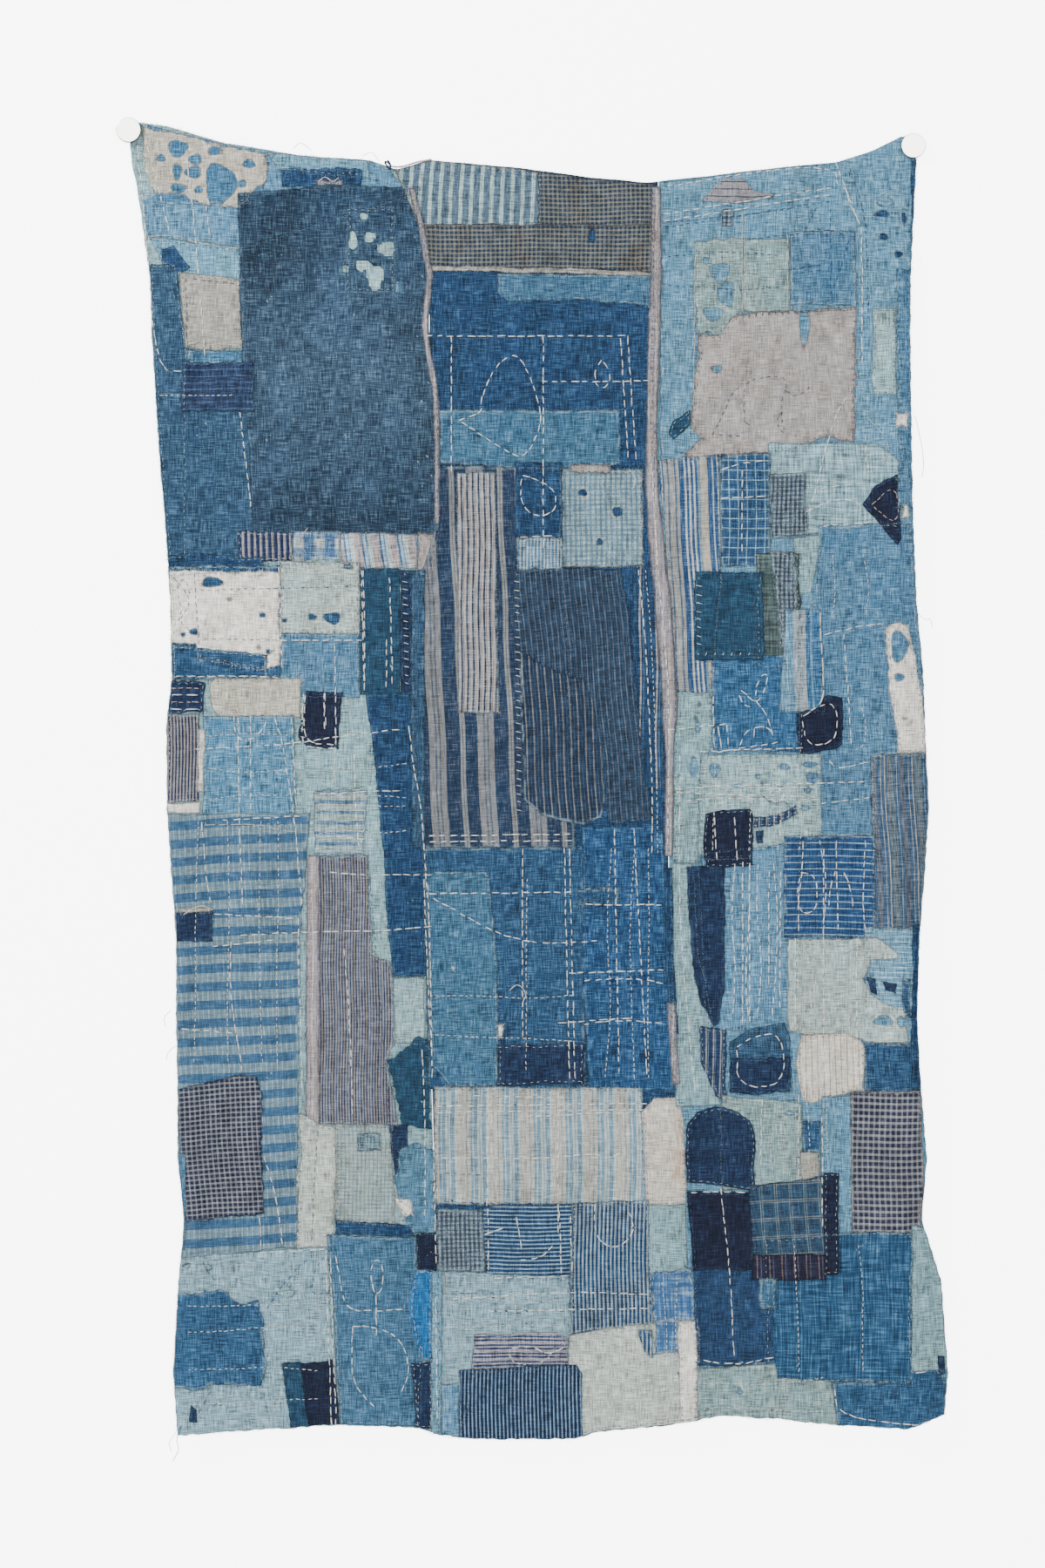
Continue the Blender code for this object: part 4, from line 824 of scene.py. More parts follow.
rightChart = [
    ("spotsUnder", "deepIndigo", (45.6, 6.6, 50.4, 16.2), {}),
    ("paleUpper", "paleIndigo", [(18, 5), (40.8, 3), (51, -1), (51.5, 44), (18, 44)],
        {"holes": [(47.2, 8.1, 0.9, 0.7), (46.8, 9.8, 0.8, 0.35), (49.7, 10.1, 0.3, 0.9),
        (47, 12.8, 0.5, 0.4), (48.9, 15.1, 0.5, 0.4)]}),
    ("stripeWindow", "windowStripe", [(23.3, 8.2), (24.9, 6.3), (26.3, 5.3), (28.7, 5.3), (30.4, 7),
        (32.8, 7.2), (32.7, 7.8), (27.7, 8.6)], {"rag": 0.6}),
    ("checkWindow", "smallCheck", (26.1, 9.2, 27.5, 11.6), {}),
    ("mossPatch", "mossGrey", [(22.5, 13.4), (28.7, 13), (28.7, 23), (26, 25.6), (22.7, 25.2)],
        {"holes": [(25.8, 17.4, 1.2, 1.2), (24.1, 15.9, 0.5, 0.4), (26.6, 20.2, 1.0, 1.5),
        (24.9, 22.8, 1.2, 0.8)], "rag": 2.2}),
    ("mossPatchB", "mossGrey", (28.7, 12.9, 34.8, 22.6), {}),
    ("blueBlock", "midIndigo", (34.9, 12.2, 43.4, 21.8), {}),
    ("pinkField", "pinkBeige", [(25.6, 25.7), (27.3, 23.1), (36, 22.4), (43.4, 21.9), (43.2, 39.4),
        (39.1, 39), (35.6, 40.6), (28.7, 40.8), (22.8, 41.8), (21.1, 41.1), (23.5, 38.9), (21.8, 37.5),
        (22.5, 34.7), (23, 25.4)], {"holes": [(36.7, 24.4, 0.55, 2.3), (25.3, 30, 0.6, 0.4)], "rag": 2.0}),
    ("paleMarginA", "paleTeal", (45.5, 22.2, 48.6, 33.4), {}),
    ("tealHole", "deepTeal", [(19.6, 36.8), (21.9, 35.3), (21.9, 37.2), (19.8, 39.2), (19.1, 38.4)], {}),
    ("stripeCloth", "beigeBlueStripe", [(17.6, 41.8), (25.7, 41), (25.9, 57), (24.6, 72), (20, 72),
        (19.2, 58)], {"start": (18.3, 42), "turn": -3}),
    ("paleStreaks", "streakPale", [(32, 39.6), (46, 39.6), (50.4, 43), (49, 50), (32, 52)], {}),
    ("gridPatch", "gridBlue", (25.8, 40.9, 32.3, 55.5), {}),
    ("checkPatch", "smallCheck", [(32.1, 43.6), (36.8, 43.4), (37.1, 51.4), (32.4, 51.7)], {}),
    ("blueField", "midIndigo", [(38.6, 50.2), (52, 50), (52.6, 80), (46, 80), (46, 90.5), (38, 90.5),
        (36, 80), (36, 64), (38, 60)], {}),
    ("paleTongue", "greyTeal", [(35.3, 51.8), (38.9, 51.4), (37.5, 58.9), (35.4, 59.4)], {}),
    ("navyTriangle", "blackNavy", [(44.2, 47.5), (46, 45.1), (48.9, 43.6), (49.2, 52), (48.7, 52.8)], {}),
    ("mossCheck", "mossCheck", (30.5, 53.8, 36.1, 68.6), {"rag": 1.8}),
    ("checkColumn", "smallCheck", [(32.2, 53.6), (35.4, 53.6), (36.1, 66), (33.4, 66), (33, 60)],
        {"rag": 1.6}),
    ("flowerField", "flowerBlue", (24.8, 67, 36.2, 79.6), {}),
    ("shadowStrip", "shadowStripe", [(34.2, 61), (38.8, 61), (39.3, 74.3), (33.4, 74.3)],
        {"start": (33.4, 61), "turn": -2}),
    ("tealSquare", "deepTeal", (22.7, 56.2, 31.3, 67.7), {"rag": 1.2}),
    ("navyHexagon", "blackNavy", [(35.7, 74.6), (38.6, 73.7), (38.9, 72.5), (39.8, 72.1), (41.6, 72.5),
        (41.8, 75.5), (41.6, 78.6), (40.9, 79.2), (36.2, 80.1), (35.7, 78)], {}),
    ("hempMargin", "creamHemp", [(47.1, 63.4), (48.3, 62.7), (50.1, 63.1), (50.4, 65.5), (51, 67.4),
        (51.9, 71.3), (52.4, 75.5), (52.5, 79.8), (48.7, 79.8), (48.3, 75.5), (47.5, 71.3), (47.4, 67.1)],
        {"holes": [(48.9, 65.9, 1.0, 1.9), (48.9, 69.9, 0.6, 0.5), (49.6, 75.2, 0.3, 0.2)], "rag": 1.6}),
    ("paleStripA", "greyTeal", [(19.8, 71.6), (24.8, 71.9), (24.6, 79), (23.4, 80), (23.2, 94), (19.6, 94)],
        {"holes": [(23.1, 73.4, 0.25, 0.3), (22.5, 75.1, 0.2, 0.25), (22.9, 76.3, 0.3, 0.7),
        (22.4, 81.5, 0.4, 1.1)]}),
    ("greenField", "paleTeal", [(23.2, 79.8), (38.9, 79.8), (38.9, 90.4), (34.2, 93.4), (23, 93.4)],
        {"holes": [(25.1, 81.9, 0.6, 0.8), (34, 81.5, 0.7, 0.3), (37.4, 81.2, 0.8, 0.3),
        (37.7, 82.9, 0.7, 0.7), (28.1, 84, 0.5, 0.25), (37.1, 84.4, 0.5, 0.4), (30.7, 82.7, 0.35, 0.25),
        (36.8, 86.8, 0.5, 0.3)]}),
    ("skyField", "lightBlue", [(23, 93), (36, 91), (36, 115.6), (24, 115.6)], {}),
    ("blackSquare", "blackNavy", [(23.9, 87.6), (26, 87), (29.7, 86.9), (30.1, 88), (30, 94.2), (24, 94.6),
        (23.6, 93)], {}),
    ("darkCheckBit", "dullStripe", [(30.1, 88), (33, 87.6), (35.6, 86.4), (35.8, 87.5), (33.3, 88.9),
        (30.1, 89.4)], {"rag": 1.4}),
    ("darkCheckBitB", "navy", (30.5, 89.7, 31.4, 91.4), {}),
    ("brownStripes", "brownStripe", [(45.2, 79.9), (53, 79.9), (52.6, 102.6), (45.6, 102.6)], {"turn": -3,
        "start": (47, 82)}),
    ("linedBlue", "lineBlue", (34, 90.3, 45.8, 103.6), {"turn": 1}),
    ("paleStripB", "greyTeal", [(19.4, 94), (22.2, 94), (23, 106), (24.8, 114.5), (23.6, 119), (26, 125.4),
        (20, 125.4)], {}),
    ("longNavy", "navy", [(21.5, 94.4), (26.4, 94.4), (26.5, 105.6), (26.2, 111), (25.6, 114.7),
        (25.1, 115.1), (23.3, 112.3), (22.1, 107.1)], {}),
    ("linedPale", "linePale", (44.4, 102.4, 51.4, 114), {}),
    ("stripeGlimpse", "dullStripe", [(23.2, 115), (26.6, 115.6), (26.6, 124.8), (25.2, 124.2), (23.2, 119.6)],
        {}),
    ("tornPale", "creamGreen", [(34.6, 103.8), (45.8, 103.6), (48.6, 105.5), (48.8, 106.2), (45.2, 106.5),
        (44.3, 108.8), (45.4, 110.9), (47.7, 112.5), (49.7, 113.1), (50.1, 117.1), (45.4, 117.1),
        (42.6, 116.2), (36.4, 116), (34.7, 115.6)], {"holes": [(46.9, 114.3, 1.1, 0.6),
        (49.2, 114.4, 0.6, 0.6)], "rag": 1.2}),
    ("navyPeep", "navy", [(44.7, 108.7), (45.9, 109), (46.1, 111), (45.2, 110.6)], {}),
    ("navyPeepB", "navy", [(46.7, 109.2), (48.6, 109.5), (48.4, 110.9), (47.1, 110.4)], {}),
    ("navyPeepC", "dimBlue", [(49.2, 108.8), (50.3, 108.8), (50.4, 114), (49.4, 113)], {}),
    ("blueBar", "dimBlue", (44.3, 117.2, 51.6, 123.5), {}),
    ("roundNavy", "deepMid", [(27, 117.1), (29.6, 115.4), (34.1, 114.6), (34.9, 116.5), (34.9, 123.5),
        (30.7, 123.8), (27, 123.6)], {}),
    ("roundNight", "navy", [(27, 119.2), (34.8, 119), (34.8, 123.4), (30.7, 123.8), (27, 123.6)],
        {"rag": 1.6}),
    ("pinlineCream", "creamPinline", [(36.2, 116.2), (42.6, 116), (44.4, 117.3), (44.3, 123.3), (40.3, 124.2),
        (37.5, 125), (36.4, 124.6), (35.6, 119.9)], {}),
    ("greenLower", "mossGrey", [(26, 124), (36.4, 125), (36.4, 135), (26, 136.4)],
        {"holes": [(34.7, 126.3, 0.5, 0.3)]}),
    ("blueChip", "dimBlue", (36.3, 127.3, 39, 131.4), {}),
    ("beigeChip", "greyCream", (36.3, 131.3, 38.7, 134.8), {}),
    ("skyStrip", "paleIndigo", [(38.9, 124.2), (42.9, 124), (42.9, 142), (38.9, 142)], {}),
    ("brownChecks", "brownCheck", [(42.6, 123.5), (51.7, 123.3), (52, 136), (51.6, 141.5), (42.9, 141.9)],
        {}),
    ("domeNavy", "navy", [(21.4, 127.9), (22.8, 126.1), (25.1, 125.5), (27.9, 126), (29.6, 127.2),
        (30.3, 129.2), (30.3, 136.3), (21.4, 135.2)], {}),
    ("streakField", "streakBlue", [(31.5, 142.6), (41, 141.8), (50.3, 141.5), (50.8, 142.6), (50.4, 152),
        (50.8, 161.2), (31.8, 161)], {}),
    ("nightField", "nightBlue", [(21.5, 136.4), (30.2, 136.6), (32.6, 140), (32.8, 158.2), (28, 159.2),
        (22.8, 158.9), (22.3, 146)], {}),
    ("nightTop", "blackNavy", [(21.5, 136.4), (30.2, 136.6), (30.4, 146.6), (22.3, 146.6)], {}),
    ("plaid", "darkPlaid", [(29.4, 135.7), (41, 134.2), (41.1, 147), (30, 147.8)], {"turn": -4}),
    ("plaidSide", "blackNavy", (39.2, 134.1, 41.1, 147.2), {}),
    ("plaidFoot", "plaidHem", (29.9, 144.6, 39.6, 147.8), {"turn": -3}),
    ("brightChip", "tealBlue", (30.9, 147.6, 33, 151.6), {}),
    ("paleHem", "mossGrey", [(22.8, 159.3), (33, 158.6), (33, 160.6), (40.6, 161), (41, 167.5), (22.8, 167)],
        {"holes": [(28.3, 162.3, 0.35, 0.4), (32.4, 164.6, 0.3, 0.2)]}),
    ("blueCorner", "rubbedIndigo", [(40.3, 161.2), (50, 160.9), (50.3, 159.3), (53.5, 159.3), (56, 162.8),
        (56, 167.5), (41.1, 167.5)], {}),
    ("paleMarginB", "greyTeal", [(50.4, 140.6), (52.6, 141), (55, 148), (56, 155), (56, 159.6),
        (50.4, 159.6)], {}),
    ("marginHole", "navy", [(53.9, 157.6), (54.8, 157.8), (55, 160), (54.2, 160.2)], {}),
    ("marginBlue", "midIndigo", [(48.6, 17), (52, 17), (52, 48), (48.8, 48)], {"rag": 2}),
    ("marginDark", "deepIndigo", [(50.6, 2.8), (52, 2.8), (52, 17.2), (50.6, 17.2)], {}),
    ("spotA", "creamHemp", (48.5, 35.7, 50.1, 37.7), {"rag": 2}),
    ("spotB", "creamHemp", (49.3, 47.4, 50.2, 49.4), {"rag": 2}),
    ("marginBlueB", "deepIndigo", [(50.6, 102), (52.4, 102), (52.4, 123.2), (50.4, 123.2)], {}),
]
seamChart = [
    ("seamRibbon", "selvedge", {"strip": [(17.5, 6.3, 1.1), (17.5, 18, 1.6), (17.1, 30, 1.6), (16.9, 38, 1.4),
        (16.9, 45, 1.6), (17.4, 51, 2.0), (18.3, 60, 2.2), (19.3, 73, 2.1), (19.2, 80, 1.2),
        (19.1, 93, 1.0)]}, {"rag": 0.5, "lift": 0.2}),
    ("seamBlue", "deepIndigo", {"strip": [(19, 94.5, 1.1), (19.3, 108, 1.1), (19.9, 116, 1.0)]},
        {"rag": 0.5}),
    ("seamBrown", "selvedge", {"strip": [(19.4, 112, 1.0), (20.1, 122.5, 1.1)]}, {"rag": 0.6}),
    ("seamFold", "selvedge", {"strip": [(-14.2, 6.5, 0.8), (-12.8, 11.7, 0.8), (-12.2, 15.8, 0.8),
        (-11.8, 17.8, 0.8), (-12.5, 24.4, 0.7), (-11.9, 28.7, 0.8), (-11.05, 33, 0.8), (-10.8, 40.6, 0.7),
        (-10.9, 50, 0.6)]}, {"rag": 0.5, "lift": 0.2}),
]


# Corner cutting: each step puts two points a quarter in from the ends of every straight.
def rounded(points, steps=2):
    line = np.array(points, float) * cm
    for _ in range(steps if len(line) > 2 else 0):
        near, far = 0.75 * line[:-1] + 0.25 * line[1:], 0.25 * line[:-1] + 0.75 * line[1:]
        line = np.concatenate((line[:1], np.stack((near, far), 1).reshape(-1, 2), line[-1:]))
    return line


def along(line):  # the line as a function of the distance run along it, and its whole length
    run = np.concatenate(((0,), np.cumsum(np.hypot(*np.diff(line, axis=0).T))))
    return (lambda place: np.stack([np.interp(place, run, line[:, i]) for i in (0, 1)], axis=-1)), run[-1]


# Where the running stitches go: kind, then the line in cm.
stitchRows = [
    # left loom width
    ("white", [(-49.8, 0.8), (-48.6, 12), (-47.2, 30), (-43.8, 30.4)]),
    ("white", [(-48.7, 0), (-45.4, 12.6)]),
    ("white", [(-43.4, 1.4), (-42, 14), (-40.9, 28.7)]),
    ("white", [(-40.8, 8.8), (-40.3, 13.2)]),
    ("indigo", [(-33, 3.3), (-21.5, 5)]),
    ("cord", [(-48.3, 12.7), (-44.5, 12.6), (-42.5, 13.6), (-36.4, 14.5)]),
    ("cord", [(-43.2, 26.8), (-40.8, 26.2), (-38.6, 26.9), (-36.2, 26.8)]),
    ("indigo", [(-43.4, 18.2), (-43.2, 26.4)]),
    ("indigo", [(-42.5, 18.3), (-36.6, 19)]),
    ("white", [(-36.4, 35.6), (-35.6, 42), (-34.9, 48.5)]),
    ("fine", [(-46.8, 33.4), (-37, 33.4)]),
    ("white", [(-31.3, 55.5), (-30.9, 69)]),
    ("whip", [(-46, 56.4), (-38, 56.2)]),
    ("white", [(-20.6, 56), (-20.3, 71)]),
    ("whip", [(-15.1, 56.5), (-14.8, 71.5)]),
    ("white", [(-17, 57), (-16.6, 71)]),
    ("white", [(-38.6, 88.4), (-28, 87.8)]),
    ("white", [(-33.3, 131.8), (-32, 135.7), (-31.2, 140.2), (-30.8, 143.9)]),
    ("white", [(-33.8, 139.5), (-33.6, 144.2)]),
    ("indigo", [(-26.3, 128.6), (-26.7, 133), (-27.1, 143)]),
    ("white", [(-25.3, 144.8), (-24.9, 156), (-24.5, 167)]),
    ("white", [(-24.7, 145), (-24.3, 156), (-23.9, 167)]),
    ("white", [(-19, 145.3), (-18.2, 145.1), (-17.7, 147), (-18.1, 149.3), (-18.8, 149.7), (-19.3, 148.1),
        (-19.4, 146.4), (-19, 145.3)]),
    ("white", [(-18.8, 149.7), (-18.6, 155.6)]),
    ("white", [(-24, 144.8), (-23.4, 148.1), (-22.6, 151.8), (-19, 151.8), (-15, 151.5)]),
    ("white", [(-21.8, 153.8), (-19, 153.8), (-16.5, 154.7), (-15, 156.6), (-14.5, 158.9), (-14.7, 160.6),
        (-15.6, 162.6)]),
    ("white", [(-21.8, 153.8), (-21.9, 158.3), (-21.7, 160.9), (-20.1, 163.2), (-18.4, 164.5)]),
    ("whip", [(-28.3, 72.2), (-28.3, 78.6)]),
    ("indigo", [(-19.5, 96), (-17, 127)]),
    ("white", [(-42.1, 79.2), (-36.9, 78.9), (-30.3, 78.6), (-24.2, 77.6), (-15.5, 76.6)]),
    ("white", [(-36.6, 73.7), (-36.5, 88.5), (-36, 99.7)]),
    ("white", [(-35, 74.9), (-35, 87.6)]),
    ("white", [(-31.8, 75.2), (-30.9, 78.3), (-29.4, 87.6), (-29.1, 90.7), (-28.3, 99.7)]),
    ("white", [(-29.7, 75.2), (-29.1, 87)]),
    ("white", [(-24.1, 65.8), (-23.9, 79.2), (-24.4, 84.3)]),
    ("white", [(-25.4, 71.9), (-25.3, 76.7)]),
    ("white", [(-21.5, 79.8), (-21.5, 85.5), (-20.9, 92.5)]),
    ("white", [(-17.4, 64.9), (-17.4, 71.9)]),
    ("white", [(-26, 85), (-15.2, 84.5)]),
    ("white", [(-25.1, 90.4), (-18.5, 91)]),
    ("white", [(-24.8, 95.1), (-20, 95.5), (-11.1, 95.4)]),
    ("white", [(-39.7, 100.5), (-29.1, 101.1)]),
    ("white", [(-36.3, 103.3), (-29.1, 102.9), (-20.9, 102.7), (-15.8, 102.6), (-11.1, 102)]),
    ("white", [(-40, 104.7), (-31.5, 103.9)]),
    ("white", [(-37.5, 104.1), (-37.7, 108.6), (-37.1, 115.3), (-36.5, 117.7), (-36, 121.3)]),
    ("white", [(-43.9, 115.3), (-36.9, 116)]),
    ("white", [(-28.8, 101), (-28.8, 108.6), (-28.5, 114.7), (-28.3, 123.5)]),
    ("white", [(-14.5, 76.1), (-13.9, 81.6), (-13, 86.1), (-12.4, 93.7), (-11.8, 101.8), (-11.5, 122)]),
    ("white", [(-41.3, 88.5), (-40.7, 96.7), (-40, 99.7)]),
    ("white", [(-20.4, 56), (-20.2, 64), (-20.2, 72)]),
    ("indigo", [(-41.5, 58.6), (-32.7, 58.4), (-20.9, 58.1)]),
    ("indigo", [(-41.2, 64.9), (-31.2, 65.1)]),
    ("white", [(-31.2, 65.1), (-20, 65.1)]),
    ("white", [(-44.6, 69.8), (-32.5, 69.7), (-31, 70.2)]),
    ("indigo", [(-44.9, 57), (-42.4, 60), (-44.4, 62.6), (-42.6, 64)]),
    ("indigo", [(-42.3, 56.4), (-42, 61), (-41.6, 66)]),
    ("white", [(-33.9, 144.3), (-24.8, 143.9)]),
    ("rose", [(-45.2, 71.3), (-41.4, 71.3)]),
    ("white", [(-45.2, 72.2), (-41.4, 72.2)]),
    ("rose", [(-45.2, 73.1), (-41.4, 73.1)]),
    ("white", [(-45.2, 74), (-41.4, 74)]),
    ("white", [(-27.9, 72.2), (-28.2, 76), (-27.6, 78.5), (-23.7, 78.6)]),
    ("cord", [(-41, 89), (-33, 88.9), (-31.6, 89.7), (-29.2, 89.8)]),
    ("rose", [(-27.3, 93.4), (-27.2, 110), (-27.4, 127.4)]),
    ("indigo", [(-22.6, 119.8), (-19.6, 119.9), (-17.3, 120.4)]),
    ("white", [(-22.9, 105), (-22.3, 112), (-21.9, 120), (-21.8, 127)]),
    ("white", [(-12.8, 118), (-12.4, 127), (-12.4, 140)]),
    ("white", [(-37.2, 74.9), (-36.8, 78), (-34.5, 77.9), (-33.3, 76.5), (-32.8, 74.9)]),
    ("white", [(-28.1, 72), (-28.5, 77.5), (-27.8, 79), (-23.7, 79.1)]),
    ("white", [(-25.5, 71.8), (-25.4, 77)]),
    ("indigo", [(-45.8, 56.6), (-44.9, 59.4), (-43.6, 56.5), (-42.8, 59.5)]),
    ("indigo", [(-44.4, 59.2), (-43.8, 61.5), (-44.6, 63)]),
    ("indigo", [(-25.6, 144.9), (-26.9, 147), (-27.2, 149.8), (-25.4, 149.6), (-19.6, 149.2)]),
    ("indigo", [(-27.8, 145.3), (-29.5, 147), (-31.7, 149.6), (-33, 151.8)]),
    ("indigo", [(-41.2, 145.4), (-40.2, 147.3), (-39.2, 148.3)]),
    ("indigo", [(-41.6, 165), (-40.5, 162.8), (-39.9, 161.8)]),
    # centre
    ("white", [(-6.1, 124), (6, 124.3)]),
    ("white", [(-4.2, 124), (-4.4, 138.5)]),
    ("white", [(4.8, 123.4), (4.8, 142)]),
    ("fine", [(3.9, 126.7), (4.5, 137.3)]),
    ("white", [(0.7, 126.7), (14.8, 126.1)]),
    ("white", [(-4.7, 142), (-1.8, 141)]),
    ("white", [(0, 145.3), (2.7, 145), (4.5, 143)]),
    ("cord", [(-6.1, 154.7), (6, 154.8)]),
    ("white", [(-1.2, 156.6), (1.8, 156.4), (3.3, 157.6), (6, 156.3)]),
    ("fine", [(-1.5, 157.6), (-0.6, 158.9), (3, 158.5), (4.2, 157)]),
    ("cord", [(-9.6, 147), (-9.7, 150), (-7.4, 157.4)]),
    ("white", [(-12.1, 25.7), (13.8, 25.7)]),
    ("white", [(-9, 25.7), (-9, 43.7)]),
    ("white", [(2.9, 25.7), (2.9, 53.4)]),
    ("white", [(-8, 36.6), (-5, 35.7), (-5.2, 34), (-3.8, 30.5), (-2.4, 28.8), (-0.4, 28), (1, 30.5),
        (2.4, 34.7), (2.6, 36.8), (1.7, 39.5), (0.5, 41.3), (-0.9, 41.3), (-5.2, 38.5), (-8, 36.6)]),
    ("white", [(10.4, 28.8), (9.5, 30.2), (9.7, 32.1), (10.9, 32.6), (11.6, 31.4), (11.2, 29.7),
        (10.4, 28.8)]),
    ("white", [(0.2, 43.8), (1.7, 44.2), (3.9, 45.2), (4.6, 46.6), (4.4, 48.2), (3, 49.1), (1.4, 48.8),
        (0.2, 47.6), (-0.1, 45.6), (0.2, 43.8)]),
    ("white", [(-0.1, 51.8), (4.6, 51.5)]),
    ("white", [(13.8, 25.7), (14.9, 42)]),
    ("white", [(12.9, 26), (13.9, 42)]),
    ("white", [(2.6, 31.6), (17.2, 31.6)]),
    ("white", [(-11.9, 90.4), (6.9, 90.2)]),
    ("white", [(-11.9, 91.2), (6.9, 91)]),
    ("white", [(-11.9, 97.9), (7, 97.7)]),
    ("white", [(-11.3, 98.5), (-0.6, 104.5), (10.4, 104)]),
    ("white", [(5.6, 92), (6.3, 122.2)]),
    ("white", [(6.3, 92), (7, 122.2)]),
    ("white", [(0.2, 92), (0.2, 117)]),
    ("white", [(12.1, 89.5), (12.7, 121.6)]),
    ("white", [(14.6, 89.5), (16.3, 121.7)]),
    ("white", [(6.1, 108.2), (18.9, 107.7)]),
    ("white", [(4.7, 114.6), (14.3, 114)]),
    ("white", [(-11, 125.4), (16.6, 125)]),
    ("white", [(-11, 126.2), (16.6, 125.8)]),
    ("white", [(-10.2, 132.1), (4.7, 132.1), (9.3, 131.4), (11, 132.3), (13.2, 131.4)]),
    ("indigo", [(-9.7, 134.1), (-4.9, 134.3)]),
    ("indigo", [(-9.7, 137.8), (4.7, 138.2)]),
    ("white", [(-4.3, 138.6), (-4.2, 147)]),
    ("white", [(-0.6, 139.7), (0.2, 144.2)]),
    ("white", [(5, 139), (5.2, 147.6)]),
    ("white", [(6.4, 139.5), (6.6, 147)]),
    ("white", [(-3.5, 147.6), (6.5, 147.3)]),
    ("white", [(-8.8, 150.4), (4.5, 149.4), (16.6, 149.7)]),
    ("white", [(-4.3, 151.9), (16.6, 151.5)]),
    ("indigo", [(-11, 149.7), (-3.2, 149.5)]),
    ("white", [(9.6, 138), (9.5, 140.2), (9.9, 142.5), (11, 143.4), (12.1, 143.6), (13.2, 143.3),
        (14.4, 141.9), (14.6, 140.2), (13.6, 138.5)]),
    ("white", [(15.2, 56), (16.2, 66), (17, 84), (16.9, 93)]),
    ("fine", [(16.1, 56), (17, 66), (17.6, 84), (17.7, 93)]),
    ("rose", [(17.8, 8), (17.5, 25), (17.3, 41)]),
    ("white", [(16.9, 42), (17.7, 56), (18.7, 66), (19.2, 73), (19, 92)]),
    ("whip", [(-0.6, 56.5), (-0.4, 70), (-0.3, 88)]),
    ("darkWhip", [(0, 66.5), (3, 68.4), (8, 70.4)]),
    ("white", [(-12.6, 96), (-12, 110), (-11.4, 122)]),
    ("white", [(-11.3, 130), (-11, 146)]),
    ("white", [(-11, 150), (-10.8, 166)]),
    # right
    ("white", [(18.5, 9.9), (30, 8), (40.8, 6.3)]),
    ("white", [(18.5, 10.8), (30, 8.9), (40.6, 7.2)]),
    ("indigo", [(18.6, 11.6), (30, 9.8), (40.4, 8.1)]),
    ("white", [(40.8, 3.1), (43.7, 10.7), (44.2, 12), (44.2, 29.5)]),
    ("indigo", [(24.8, 38.5), (26.3, 35.6), (27.4, 32.8), (28.6, 32.3)]),
    ("indigo", [(28.9, 36.8), (28.8, 33), (29.2, 31.6), (31.8, 31), (34.2, 30.9), (34.3, 32.7), (33.6, 34.4),
        (33.8, 36.4), (34.2, 38.4)]),
    ("indigo", [(34.3, 32.7), (35.4, 33.7), (37.9, 32)]),
    ("indigo", [(25.6, 38.5), (28.9, 38.7)]),
    ("indigo", [(28.9, 36.8), (29.8, 37.4), (29.9, 38.1)]),
    ("indigo", [(33.9, 35.5), (33, 36.4), (33.4, 37.6), (34.2, 38.6)]),
    ("indigo", [(18.8, 10.9), (27, 10.2), (35.3, 9.1)]),
    ("indigo", [(29, 13.2), (34.9, 12.6), (37.7, 12), (40.1, 11.9), (42, 12.6)]),
    ("indigo", [(40.1, 9.1), (40.1, 20.9)]),
    ("indigo", [(42.5, 13.3), (41.5, 16.4), (40.4, 19.8)]),
    ("indigo", [(34.9, 17.1), (39.1, 16.5)]),
    ("indigo", [(35.2, 17.7), (39.1, 17.2)]),
    ("indigo", [(38.4, 8.9), (36.6, 12.2)]),
    ("indigo", [(42.3, 4), (43.9, 7), (44.8, 12), (45, 24)]),
    ("white", [(19, 6.3), (30, 4.4), (40.8, 3.6), (41, 6.3), (42.2, 6.3), (42.5, 8.4), (43.9, 10.8)]),
    ("cord", [(22.6, 13.6), (22.5, 25), (22.3, 34.8)]),
    ("cord", [(28.7, 9.5), (28.7, 22.6)]),
    ("cord", [(34.6, 12.6), (34.5, 22.4)]),
    ("heavy", [(38.7, 61.3), (38.9, 66), (39.3, 72), (38.6, 73.6)]),
    ("white", [(42.2, 33.6), (40.4, 36.5), (37.7, 47.5), (37.2, 49.2)]),
    ("cord", [(45, 36.4), (47, 38.5), (47.7, 40.2), (46.7, 42.7)]),
    ("white", [(38.8, 45.4), (45, 44.6)]),
    ("white", [(26, 43), (28, 42.3), (31.8, 41.8)]),
    ("white", [(25.9, 46.7), (32, 46.4)]),
    ("white", [(28.7, 43), (28.6, 54)]),
    ("white", [(39.2, 50.3), (45.8, 49.8)]),
    ("white", [(37, 48.5), (39.8, 47), (43.2, 46.8), (44.3, 48.1)]),
    ("white", [(39.2, 64.4), (46, 62.8), (47.5, 63.4)]),
    ("white", [(41.8, 64.3), (42.9, 79.2)]),
    ("white", [(44.6, 38.5), (44.6, 44.2)]),
    ("white", [(28.4, 71.5), (29.6, 72.5), (30.3, 73.2), (31.2, 72.4), (31.8, 70.6), (32, 69.4), (31.2, 69.6),
        (30.5, 71), (30.3, 72.8)]),
    ("white", [(28.3, 72.2), (28.9, 73.6), (30.1, 73.6)]),
    ("white", [(30.3, 72.8), (31.6, 74.3), (32.3, 76.2), (32.8, 78)]),
    ("white", [(28.4, 78.7), (28.9, 77.2), (30.2, 76.3), (31.9, 76.2), (32.8, 77.6)]),
    ("white", [(30.2, 76.4), (30.2, 78.6)]),
    ("white", [(24.9, 72.2), (25, 79.3)]),
    ("white", [(25.5, 76.2), (26, 79.3)]),
    ("white", [(26.7, 76), (26.8, 79.2)]),
    ("white", [(25.4, 79.6), (33.8, 78.2)]),
    ("fine", [(44.1, 73.8), (44.8, 76.5), (44.4, 78.8), (43, 79.5)]),
